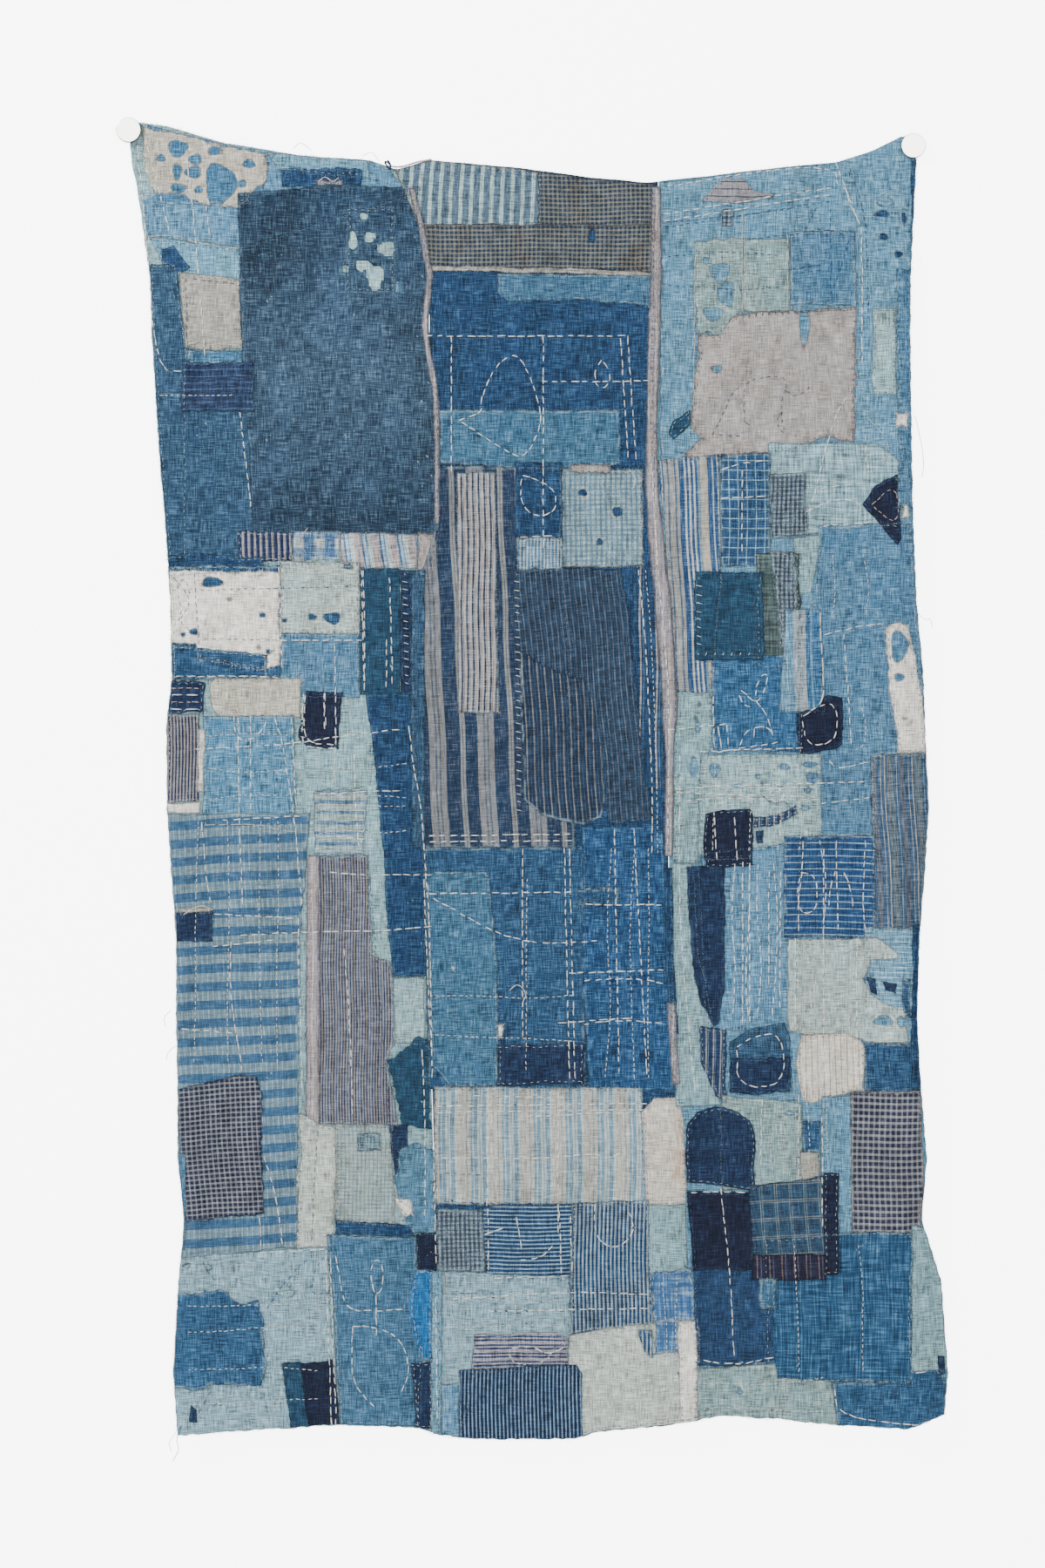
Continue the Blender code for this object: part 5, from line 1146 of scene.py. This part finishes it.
    ("white", [(39.9, 80.7), (41, 81.8), (42.9, 81.3), (45.3, 80.8)]),
    ("white", [(38.9, 86.2), (45.8, 85.4)]),
    ("white", [(36.2, 95.2), (38, 95.4), (38.4, 97.6), (38.2, 100), (36.4, 100.7), (35.7, 98), (36.2, 95.2)]),
    ("white", [(40.7, 95), (40, 97.5), (39.8, 100)]),
    ("white", [(41.8, 95.2), (42.7, 97), (43.1, 100)]),
    ("white", [(32.9, 84.1), (34.1, 84.6), (34, 85.8), (32.8, 86), (32, 85.2), (32.9, 84.1)]),
    ("white", [(19, 76.7), (26.9, 75.9)]),
    ("white", [(23.2, 79.5), (37, 79)]),
    ("rose", [(45.4, 47.6), (48.6, 44.7), (48.9, 50.6), (45.4, 47.6)]),
    ("white", [(36.4, 75), (39.2, 73.2), (40.9, 73.6), (41, 78.2), (37, 78.9), (36.4, 75)]),
    ("white", [(28.7, 93.8), (28.7, 115)]),
    ("white", [(29.6, 93.8), (29.6, 115)]),
    ("white", [(32.1, 95), (32.1, 110)]),
    ("white", [(33.6, 95), (33.5, 113)]),
    ("white", [(25, 88), (25.4, 94)]),
    ("white", [(27.6, 88), (28, 94)]),
    ("white", [(39.2, 92), (39.2, 124.2)]),
    ("white", [(35.5, 103.6), (35.5, 115)]),
    ("white", [(43.5, 104), (43.5, 122)]),
    ("white", [(22, 136.5), (29.3, 136.5)]),
    ("white", [(25.8, 135.9), (27.1, 147), (27.6, 158.3)]),
    ("white", [(23.6, 158.3), (28.5, 158.9), (33, 157.7)]),
    ("indigo", [(22.5, 146.7), (30.2, 146.7)]),
    ("white", [(31.2, 124.4), (31, 133.5)]),
    ("white", [(36, 123.9), (35.9, 134.8)]),
    ("white", [(39, 126.7), (39, 141.2)]),
    ("white", [(40.6, 162), (41.1, 165.7), (53.3, 166.6)]),
    ("white", [(50.9, 159.7), (53, 159.6)]),
    ("white", [(28, 117.8), (30, 116.4), (33.8, 115.8), (34.2, 122.8), (28, 122.9), (28, 117.8)]),
    ("whip", [(23, 57), (23, 66.6)]),
    ("whip", [(22.9, 66.8), (30.6, 66.8)]),
    ("darkWhip", [(23.2, 25.6), (27.6, 23.2), (36, 22.5), (43, 22.2)]),
    ("white", [(20.6, 80), (20.4, 93), (20.8, 106), (22.6, 124)]),
    ("white", [(23.6, 84), (45, 83.4)]),
    ("white", [(33.4, 80), (33.6, 91)]),
    ("fine", [(36.8, 104.4), (36.8, 114.8)]),
]

# Rows of stitches side by side over a patch: kind, left, top, right, bottom, how many, and their way.
stitchFields = [
    ("white", 34.6, 91, 45.4, 103.2, 4, "down"),
    ("fine", 24, 80.5, 38.6, 92.6, 4, "down"),
    ("white", 20, 83.6, 38.8, 86.4, 3, "across"),
    ("white", 26.8, 94, 33.6, 114, 4, "down"),
    ("fine", 35.6, 104.6, 44, 116, 3, "down"),
    ("fine", -43, 88.5, -29.6, 120, 4, "down"),
    ("fine", 9.4, 92, 18.6, 122, 3, "down"),
    ("white", 8.2, 97, 18.8, 118, 3, "across"),
    ("fine", -11.8, 108, 7, 118, 2, "across"),
    ("fine", -2.2, 96, 5, 121, 1, "down"),
    ("fine", -43, 148, -26, 166, 4, "across"),
    ("fine", -26.2, 80, -14.6, 92, 4, "across"),
    ("fine", -10, 148.5, 5.8, 155, 2, "across"),
    ("fine", 23.6, 160, 39.6, 166.6, 2, "across"),
    ("fine", 31, 125, 42, 134, 3, "down"),
    ("fine", -30.8, 56, -21.2, 64, 2, "across"),
    ("fine", 38.8, 54, 47, 62, 2, "down"),
    ("fine", -40.4, 75.6, -29.8, 88.6, 3, "across"),
    ("indigo", 19, 14, 33.8, 21, 2, "across"),
    ("fine", 17.6, 148, 21, 166, 2, "down"),
    ("fine", 32.6, 143.4, 50, 160, 2, "down"),
]
for kind, left, top, right, bottom, count, way in stitchFields:
    for number in range(count):
        place = (number + 0.5 + random.uniform(-0.25, 0.25)) / count
        share = np.linspace(0, 1, 4)
        wave = random.uniform(-0.5, 0.5, 4)
        if way == "down":
            line = np.stack((left + (right - left) * place + wave, top + (bottom - top) * share), -1)
        else:
            line = np.stack((left + (right - left) * share, top + (bottom - top) * place + wave), -1)
        stitchRows.append((kind, line))

# The pull of the stitches: a map of shallow troughs along their lines.
puckerMake = {
    "cell": 0.0015,
    "deep": 0.0011,
    "spread": 4,  # times that the troughs are smoothed outwards
    "kept": 0.35,  # the share of their depth that this leaves
    "every": 0.013,  # from one pull to the next
}
puckers = np.zeros((1180, 800))
lastRow, lastColumn = puckers.shape[0] - 1, puckers.shape[1] - 1
for kind, points in stitchRows:
    point, length = along(rounded(points))
    place = np.arange(0, length, puckerMake["cell"] * 0.7)
    x, drop = point(place).T
    pull = 0.75 + 0.25 * np.cos(2 * math.pi * place / puckerMake["every"])
    row = ((drop - pile["top"]) / puckerMake["cell"]).astype(int)
    column = ((x - pile["left"]) / puckerMake["cell"]).astype(int)
    np.maximum.at(puckers, (np.clip(row, 0, lastRow), np.clip(column, 0, lastColumn)), pull)
for _ in range(puckerMake["spread"]):  # each cell becomes the mean of itself and its four neighbours
    shifts = ((1, 0), (-1, 0), (1, 1), (-1, 1), (0, 0))
    puckers = sum(np.roll(puckers, shift, axis) for shift, axis in shifts) / 5
puckers *= puckerMake["deep"] / puckerMake["kept"]


def pullAt(x, drop):  # the map's height between its cells
    row = np.clip((drop - pile["top"]) / puckerMake["cell"], 0, lastRow - 1)
    column = np.clip((x - pile["left"]) / puckerMake["cell"], 0, lastColumn - 1)
    i, j = row.astype(int), column.astype(int)
    a, b = row - i, column - j
    upper = puckers[i, j] * (1 - b) + puckers[i, j + 1] * b
    lower = puckers[i + 1, j] * (1 - b) + puckers[i + 1, j + 1] * b
    return upper * (1 - a) + lower * a


groundMake = {"columns": 62, "rows": 285, "thick": 0.001}
groundCloths = {  # long edges, cloth, and the solid that it replaces
    "groundLeft": ("leftEdge", "leftSeam", "greyTeal", "panel_left"),
    "groundCentre": ("leftSeam", "rightSeam", "deepIndigo", "panel_centre"),
    "groundRight": ("rightSeam", "rightEdge", "paleIndigo", "panel_right"),
}


# One loom width: u across and v down between its long edges, the swag and the hem.
def makeGround(name, leftName, rightName, cloth):
    u = np.linspace(0, 1, groundMake["columns"])[None, :]
    v = np.linspace(0, 1, groundMake["rows"])[:, None]
    wander = 0.5 * mm * np.sin(410 * v + 3 * np.sin(57 * v))

    def across(drop):
        start, end = longEdge(leftName, drop), longEdge(rightName, drop)
        start = start + (hang["seamGap"] / 2 if leftName.endswith("Seam") else wander)
        end = end - (hang["seamGap"] / 2 if rightName.endswith("Seam") else wander)
        return start + (end - start) * u

    top = np.interp(across(topEdge[1].mean() + 0 * v), *topEdge)
    bottom = np.interp(across(hem[1].mean() + 0 * v), *hem) + 0.8 * mm * np.sin(900 * u + 4 * np.sin(70 * u))
    drop = top + (bottom - top) * v
    x = across(drop)
    piece = gridMesh(name, hungPoints(x, drop, 0 * x), {"thread": np.stack((x, drop), -1)}, 0.01 + 0 * x)
    piece.data.materials.append(materials[cloth])
    sheet = piece.modifiers.new("sheet", "SOLIDIFY")
    sheet.thickness = groundMake["thick"]
    sheet.offset = 0.0
    return piece


grounds = {}
for name, (leftName, rightName, cloth, node) in groundCloths.items():
    grounds[name] = makeGround(name, leftName, rightName, cloth)
    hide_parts(node)
print("ground cloths hung")

charts = (
    ("groundLeft", leftChart),
    ("groundCentre", centreChart),
    ("groundRight", rightChart),
    ("groundCentre", seamChart),
)
patches = {name: [] for name in groundCloths}
outlines = {}
for groundName, chart in charts:
    for name, cloth, outline, extra in chart:
        piece, outlines[name] = makePatch(name, cloth, outline, **extra)
        patches[groundName].append(piece)
print("patches sewn:", sum(map(len, patches.values())))

# Threads: hem stitches, running stitches, frays and loose ends.
stitchKinds = {  # dash, gap, radius in mm, colour, whether it crosses its line
    "white": (9.5, 3.2, 0.68, "f9f6ee", False),
    "fine": (4.5, 3.0, 0.5, "e6e3da", False),
    "cord": (15.0, 0.8, 0.55, "c2c6bd", False),
    "heavy": (18.0, 0.5, 1.0, "dedcd2", False),
    "indigo": (6.0, 3.2, 0.45, "2b4068", False),
    "rose": (6.0, 2.6, 0.5, "c9b0a8", False),
    "whip": (5.5, 4.5, 0.5, "e6e3da", True),
    "darkWhip": (5.0, 3.4, 0.45, "25385c", True),
    "hem": (3.6, 5.2, 0.36, "45688c", False),
}
hemMake = {
    "inset": 0.0030,  # from the patch's edge
    "share": 0.7,  # of the patches have hem stitches
    "least": 0.012,  # and none smaller than this
    "colours": ("a9bcc2", "45688c", "22355a", "c9c9bf"),
}
frayMake = {"spacing": 0.0019, "length": 0.0030, "width": 0.00055}


# Cotton sewing thread, two-ply and matt: its twist shows as a faint unevenness of light.
threadFinish = bpy.data.materials.new("sewingThread")
threadFinish.use_nodes = True
threadTree = threadFinish.node_tree
threadShader = threadTree.nodes["Principled BSDF"]
threadDye = add(threadTree, "Attribute", attribute_name="dye")[0]
place = add(threadTree, "TexCoord")[3]
twist = add(threadTree, "TexNoise", {"Vector": place, "Scale": 700.0, "Detail": 1.0})[0]
twist = add(threadTree, "MapRange", {0: twist, 1: 0.3, 2: 0.7, 3: 0.75, 4: 1.15})[0]
threadTree.links.new(add(threadTree, "HueSaturation", {"Value": twist, "Color": threadDye})[0],
                     threadShader.inputs["Base Color"])
threadShader.inputs["Roughness"].default_value = 0.85
threadShader.inputs["Specular IOR Level"].default_value = 0.3


# Dashes at even places along a line, each a little out of true, or short stitches across it.
def dashesAlong(line, dash, gap, crosses, stations):
    point, length = along(line)
    count = max(int(length / ((dash + gap) * mm)), 1)
    pitch = length / count
    start = (np.arange(count) + random.uniform(-0.1, 0.1, count)) * pitch
    reach = pitch * dash / (dash + gap) * random.uniform(0.7, 1.15, count)
    share = np.linspace(0, 1, stations)
    path = point(start[:, None] + (0.02 if crosses else 1.0) * reach[:, None] * share)
    across = squareTo(path[:, -1] - path[:, 0])
    if crosses:
        size = dash * mm * random.uniform(0.6, 1.2, count)
        path = path + across[:, None] * (size[:, None] * (share - 0.5))[..., None]
        return path + (share[:, None] * 1.4 * mm)
    shift = random.uniform(-0.6, 0.6, (2, count)) * mm
    return path + across[:, None] * (shift[0][:, None] + (shift[1] - shift[0])[:, None] * share)[..., None]


# Four-sided tubes carried along many paths at once, closed at both ends. Paths are in x and drop.
def threadMesh(name, path, lift, radius, dye):
    middle = hungPoints(path[..., 0], path[..., 1], lift)
    way = np.gradient(middle, axis=1)
    side = np.cross(way, (0.0, -1.0, 0.0))
    side /= np.maximum(np.linalg.norm(side, axis=-1, keepdims=True), 1e-12)
    out = np.cross(side, way)
    out /= np.maximum(np.linalg.norm(out, axis=-1, keepdims=True), 1e-12)
    turn = np.arange(4)[:, None] * math.pi / 2
    ring = np.cos(turn) * side[..., None, :] + np.sin(turn) * out[..., None, :]
    points = middle[..., None, :] + np.broadcast_to(radius, path.shape[:2])[..., None, None] * ring
    index = np.arange(points.size // 3).reshape(points.shape[:3])
    after = np.roll(index, -1, axis=2)
    walls = np.stack((index[:, :-1], after[:, :-1], after[:, 1:], index[:, 1:]), axis=-1).reshape(-1, 4)
    faces = np.concatenate((walls, index[:, 0, ::-1], index[:, -1]))
    points = points.reshape(-1, 3)
    a, b, c = (points[faces[:, i]] for i in (0, 1, 2))
    if np.einsum("ij,ij->", a - points.mean(0), np.cross(b, c)) < 0:
        faces = faces[:, ::-1]
    piece = rawMesh(name, points, faces, dye=np.repeat(dye, middle.shape[1] * 4, axis=0))
    piece.data.materials.append(threadFinish)
    return piece


def loomWidthAt(x, drop):  # 0, 1 or 2 from the left
    return (x > longEdge("leftSeam", drop)).astype(int) + (x > longEdge("rightSeam", drop))


# Sorts paths by the loom width that they lie on, and makes one piece of thread for each.
def sewOn(name, path, lift, radius, dye):
    place = loomWidthAt(*path[:, path.shape[1] // 2].T)
    for number, groundName in enumerate(groundCloths):
        chosen = place == number
        if chosen.any():
            pieceName = name + groundName.removeprefix("ground")
            piece = threadMesh(pieceName, path[chosen], lift[chosen], radius[chosen], dye[chosen])
            patches[groundName].append(piece)


def onCloth(path):
    return np.stack(keepOnCloth(path[..., 0], path[..., 1], 0.6 * mm), axis=-1)


def sewRows(name, rows, stations):  # rows of (line, kind, colour or None)
    paths, radii, dyes = [], [], []
    for line, kind, hexText in rows:
        dash, gap, radius, usual, crosses = stitchKinds[kind]
        path = dashesAlong(line, dash, gap, crosses, stations)
        paths.append(path)
        radii.append(np.full(len(path), radius * mm) * random.uniform(0.85, 1.15, len(path)))
        shade = np.array(linear(hexText or usual))
        dyes.append(np.clip(shade * random.uniform(0.82, 1.06, (len(path), 1)), 0, 1))
    path = onCloth(np.concatenate(paths))
    radius = np.concatenate(radii)
    share = np.linspace(0, 1, stations)
    top = pileUnder(path[..., 0], path[..., 1], smooth=False).max(1, keepdims=True)
    lift = top + 0.3 * radius[:, None] + (0.45 * mm) * np.sin(math.pi * share)
    taper = radius[:, None] * (0.62 + 0.38 * np.sin(math.pi * share) ** 0.5)
    sewOn(name, path, lift, taper, np.concatenate(dyes))


# Frays: closed spikes with a three-sided foot on the edge, leaning outwards by chance.
def frayEdges(name, loops):
    feet, ways, shades = [], [], []
    for line, clothName, size in loops:
        point, length = along(line)
        place = np.arange(0, length, frayMake["spacing"]) + random.uniform(-0.001, 0.001)
        foot = point(place)
        out = squareTo(point(place + 1 * mm) - point(place - 1 * mm))
        lean = random.normal(0, 0.8, len(place))[:, None] * np.stack((-out[:, 1], out[:, 0]), -1)
        reach = random.uniform(0.2, 1.0, len(place)) ** 1.5 * frayMake["length"] * size
        feet.append(foot - 0.4 * mm * out)
        ways.append((out + lean) * reach[:, None])
        spec = {**clothDefaults, **cloths[clothName]}
        body, pale = np.array(linear(spec["shades"][0])), np.array(linear(spec["rim"][0]))
        blend = random.uniform(0, 1, len(place))[:, None] ** 2
        shades.append((body + (pale - body) * blend) * random.uniform(0.5, 1.15, len(place))[:, None])
    foot, way, shade = (np.concatenate(group) for group in (feet, ways, shades))
    across = squareTo(way) * frayMake["width"] / 2
    plan = np.stack((foot - across, foot, foot + across, foot + way), axis=1)
    top = pileUnder(foot[:, 0], foot[:, 1])[:, None] - 0.15 * mm
    tips = np.array((0, 0, 0, 1)) * random.uniform(-0.3, 0.9, (len(foot), 1)) * mm
    lift = top + np.array((0, 0.45, 0, 0.25)) * mm + tips
    place = loomWidthAt(*foot.T)
    for number, groundName in enumerate(groundCloths):
        chosen = place == number
        points = hungPoints(plan[chosen, :, 0], plan[chosen, :, 1], lift[chosen]).reshape(-1, 3)
        base = 4 * np.arange(chosen.sum())[:, None, None]
        faces = (base + np.array(((0, 1, 3), (1, 2, 3), (2, 1, 0), (0, 3, 2)))).reshape(-1, 3)
        dye = np.repeat(np.clip(shade[chosen], 0, 1), 4, axis=0)
        piece = rawMesh(name + groundName.removeprefix("ground"), points, faces, dye=dye)
        piece.data.materials.append(threadFinish)
        patches[groundName].append(piece)


hemRows, frayLoops = [], []
for groundName, chart in charts:
    for name, cloth, outline, extra in chart:
        loop = np.concatenate([side[:-1] for side in outlines[name]] + [outlines[name][0][:1]])
        frayLoops.append((loop, cloth, 0.7 + 0.5 * extra.get("rag", 0.9)))
        inward = -squareTo(np.gradient(loop, axis=0))
        if random.uniform() < hemMake["share"] and np.ptp(loop, axis=0).min() > hemMake["least"]:
            hexText = hemMake["colours"][random.integers(len(hemMake["colours"]))]
            hemRows.append((loop + inward * hemMake["inset"], "hem", hexText))
sewRows("hems", hemRows, 3)


def acrossEdge(edge, start, end):  # along the swag or the hem, from one x to another
    x = np.linspace(start, end, 400)
    return np.stack((x, np.interp(x, *edge)), -1)


def downEdge(name, end=1.66):
    drop = np.linspace(0, 1, 400) * end
    return np.stack((longEdge(name, drop), drop), -1)


# The whole cloth's own edges fray most.
outer = (
    (acrossEdge(topEdge, -0.5, 0.505), "paleSky", 1.5),
    (downEdge("rightEdge"), "midBlue", 1.5),
    (acrossEdge(hem, 0.55, -0.445), "greyTeal", 1.5),
    (downEdge("leftEdge")[::-1], "deepMid", 1.5),
)
frayEdges("frays", [*frayLoops, *outer])
sewRows("stitches", [(rounded(points), kind, None) for kind, points in stitchRows], 4)

# Loose ends: (colour, radius in mm, lift in mm, line in cm), smooth and free at both ends.
looseEnds = [
    ("3a5f88", 0.5, 1.5, [(-43.9, 166.6), (-44.6, 168.4), (-44.1, 169.6), (-45, 171.2)]),
    ("c9c7bd", 0.4, 1.5, [(-44.3, 166.8), (-44.9, 168), (-45.6, 168.8), (-45.2, 170)]),
    ("3a5f88", 0.4, 2.0, [(-44.5, 117.5), (-45.6, 118.2), (-45.9, 119.4)]),
    ("25385c", 0.4, 2.0, [(-45.3, 113), (-46.2, 113.8), (-46, 115)]),
    ("d9d6cd", 0.45, 2.5, [(-39.9, 100), (-41.5, 99.2), (-43.6, 100.6)]),
    ("d9d6cd", 0.4, 2.5, [(51.2, 61.5), (52.3, 62.6), (53, 62.2), (53.2, 63.4)]),
    ("3a5f88", 0.4, 2.0, [(50.9, 36), (51.6, 38.5), (52.2, 42), (51.9, 44)]),
    ("7f9db6", 0.4, 2.0, [(-29.5, 1.4), (-28.6, 0.4), (-27.2, 1.6)]),
    ("7f9db6", 0.4, 2.0, [(-20.5, 2.4), (-19.3, 1.7), (-18.4, 3)]),
    ("d9d6cd", 0.45, 3.0, [(-26.2, 5.8), (-25.3, 5), (-24.4, 6), (-23.6, 5.2)]),
    ("c9b0a8", 0.45, 2.5, [(-27.6, 50.6), (-28.9, 52.2), (-27.8, 53.8)]),
    ("d9d6cd", 0.45, 2.5, [(-1.5, 110.4), (-0.4, 109.4), (0.8, 110.8), (0.2, 112)]),
    ("d9d6cd", 0.45, 2.5, [(14, 43), (15, 44.2), (14.4, 45.6)]),
    ("25385c", 0.4, 2.5, [(31, 85), (32.6, 86.4), (34.4, 85.8), (35, 87.4)]),
]
for number, (hexText, radius, lift, points) in enumerate(looseEnds):
    point, length = along(rounded(points, 3))
    path = point(np.linspace(0, length, 24))[None]
    top = pileUnder(path[..., 0], path[..., 1], smooth=False)
    rise = lift * mm * np.sin(math.pi * np.linspace(0.05, 0.95, 24)) + 0.2 * mm
    sewOn("loose" + str(number), path, top + rise, np.full(path.shape[:2], radius * mm),
          np.array([linear(hexText)]))

# The twisted yarn along the top edge: two strands winding round one line, half a turn apart.
yarnEnd = {
    "line": [(-17.2, 3.7), (-15.4, 3.8), (-13.6, 3.1), (-11.6, 2.75)],
    "strand": 0.8,  # mm from the line to a strand's middle
    "turn": 0.006,
}
point, length = along(rounded(yarnEnd["line"], 3))
place = np.linspace(0, length, 90)
for strand, hexText in enumerate(("d8c8c2", "a79fa6")):
    phase = 2 * math.pi * place / yarnEnd["turn"] + strand * math.pi
    path = point(place) + np.stack((0 * place, yarnEnd["strand"] * mm * np.sin(phase)), -1)
    lift = pileUnder(*path.T) + yarnEnd["strand"] * mm * (1.4 + np.cos(phase))
    sewOn("yarn" + str(strand), path[None], lift[None], np.full((1, 90), 0.85 * yarnEnd["strand"] * mm),
          np.array([linear(hexText)]))

# The knot: a short loop wound over itself, with one tail up.
knot = {"x": -0.1725, "drop": 0.036, "wide": 0.0035, "tall": 0.005, "tail": 0.012, "yarn": 0.0011}
knotTurn = np.linspace(0, 5 * math.pi, 60)
loopX = knot["x"] + knot["wide"] * np.sin(knotTurn)
loopDrop = knot["drop"] + knot["tall"] * np.cos(knotTurn * 0.8)
loopDrop[-8:] -= np.linspace(0, knot["tail"], 8)
path = np.stack((loopX, loopDrop), -1)
lift = pileUnder(*path.T) + 0.0012 + 0.0012 * np.sin(knotTurn * 1.3)
sewOn("knot", path[None], lift[None], np.full((1, 60), knot["yarn"]), np.array([linear("22355a")]))
print("threads sewn")

# Each ground sheet and everything sewn to it hang from one root body.
for name, ground in grounds.items():
    for piece in [ground] + patches[name]:
        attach(piece, "root")

# Nickel-plated neodymium pressed and tumbled: a bright metal with a satin grain.
nickel = bpy.data.materials.new("nickelPlate")
nickel.use_nodes = True
nickelTree = nickel.node_tree
nickelShader = nickelTree.nodes["Principled BSDF"]
place = add(nickelTree, "TexCoord")[3]
grain = add(nickelTree, "TexNoise", {"Vector": place, "Scale": 900.0, "Detail": 3.0})[0]
tint = add(nickelTree, "MixRGB", {0: grain, 1: linear("fbf3ee"), 2: linear("fffaf6")})[0]
facing = add(nickelTree, "SeparateXYZ", {0: add(nickelTree, "NewGeometry")[1]})[1]
paintedRimShade = add(nickelTree, "MapRange", {0: facing, 1: -0.998, 2: -0.9})[0]  # painted shade: the rounded rim, turned away from the light, is painted darker
tint = add(nickelTree, "MixRGB", {0: paintedRimShade, 1: tint, 2: linear("6f6660")})[0]
nickelTree.links.new(tint, nickelShader.inputs["Base Color"])
polish = add(nickelTree, "MapRange", {0: grain, 3: 0.13, 4: 0.21})[0]
nickelTree.links.new(polish, nickelShader.inputs["Roughness"])
nickelShader.inputs["Metallic"].default_value = 0.8
for node in ("disc_left", "disc_right"):
    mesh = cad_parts[node].data
    mesh.materials.clear()
    mesh.materials.append(nickel)

# Wall, floor, light and camera.
view = {
    "distance": 4.0,
    "lens": 70.8,
    "x": 0.002,
    "drop": 0.837,
    "floorDrop": 2.05,
    "wallGap": 0.0015,
    "wallGlow": 7.0,  # the wall is lit on its own, evenly
    "floorGlow": 0.5,
}


def plain(name, hexText, glow, backClear):
    material = bpy.data.materials.new(name)
    material.use_nodes = True
    tree = material.node_tree
    shader = tree.nodes["Principled BSDF"]
    shader.inputs["Base Color"].default_value = linear(hexText)
    shader.inputs["Roughness"].default_value = 0.9
    shader.inputs["Emission Color"].default_value = linear("f6f6f8")
    shader.inputs["Emission Strength"].default_value = glow
    if backClear:  # from behind, the wall isn't there
        side = add(tree, "NewGeometry")[6]
        clear = add(tree, "BsdfTransparent")[0]
        mixed = add(tree, "MixShader", {0: side, 1: shader.outputs[0], 2: clear})[0]
        tree.links.new(mixed, tree.nodes["Material Output"].inputs[0])
    return material


def stagePlane(name, corners, material):
    mesh = bpy.data.meshes.new(name)
    mesh.from_pydata(corners, [], [(0, 1, 2, 3)])
    mesh.materials.append(material)
    piece = bpy.data.objects.new(name, mesh)
    bpy.context.scene.collection.objects.link(piece)
    return piece


wallY, floorZ = view["wallGap"], -view["floorDrop"]
wall = stagePlane("wall", [(-4, wallY, floorZ), (4, wallY, floorZ), (4, wallY, 3), (-4, wallY, 3)],
                  plain("wallPaint", "f2f2f3", view["wallGlow"], True))
for ray in ("visible_diffuse", "visible_glossy", "visible_transmission", "visible_shadow"):
    setattr(wall, ray, False)
stagePlane("floor", [(-4, -5, floorZ), (4, -5, floorZ), (4, 5, floorZ), (-4, 5, floorZ)],
           plain("floorPaint", "e6e6e6", view["floorGlow"], False))


def softLight(name, place, turn, size, power):
    lamp = bpy.data.lights.new(name, "AREA")
    lamp.shape = "RECTANGLE"
    lamp.size, lamp.size_y = size
    lamp.energy = power
    holder = bpy.data.objects.new(name, lamp)
    holder.location = place
    holder.rotation_euler = [math.radians(angle) for angle in turn]
    bpy.context.scene.collection.objects.link(holder)


softLight("keyLight", (-2.7, -1.7, 1.9), (43, 0, -58), (0.9, 0.9), 215)
softLight("fillLight", (2.8, -3.8, -0.6), (90, 0, 36), (2.4, 2.4), 25)
softLight("frontLight", (0, -5.0, 1.05), (78, 0, 0), (3.0, 0.8), 66)  # the discs mirror it
softLight("backLight", (1.5, 3.6, 0.6), (-72, 0, -20), (2.4, 2.4), 50)
world = bpy.data.worlds.new("room")
bpy.context.scene.world = world
world.use_nodes = True
world.node_tree.nodes["Background"].inputs["Color"].default_value = linear("f6f7fa")
world.node_tree.nodes["Background"].inputs["Strength"].default_value = 0.5

camera = bpy.data.cameras.new("camera")
camera.lens = view["lens"]
cameraHolder = bpy.data.objects.new("camera", camera)
cameraHolder.location = (view["x"], -view["distance"], -view["drop"])
cameraHolder.rotation_euler = (math.pi / 2, 0, 0)
bpy.context.scene.collection.objects.link(cameraHolder)
bpy.context.scene.camera = cameraHolder
print("wall, light and camera set")
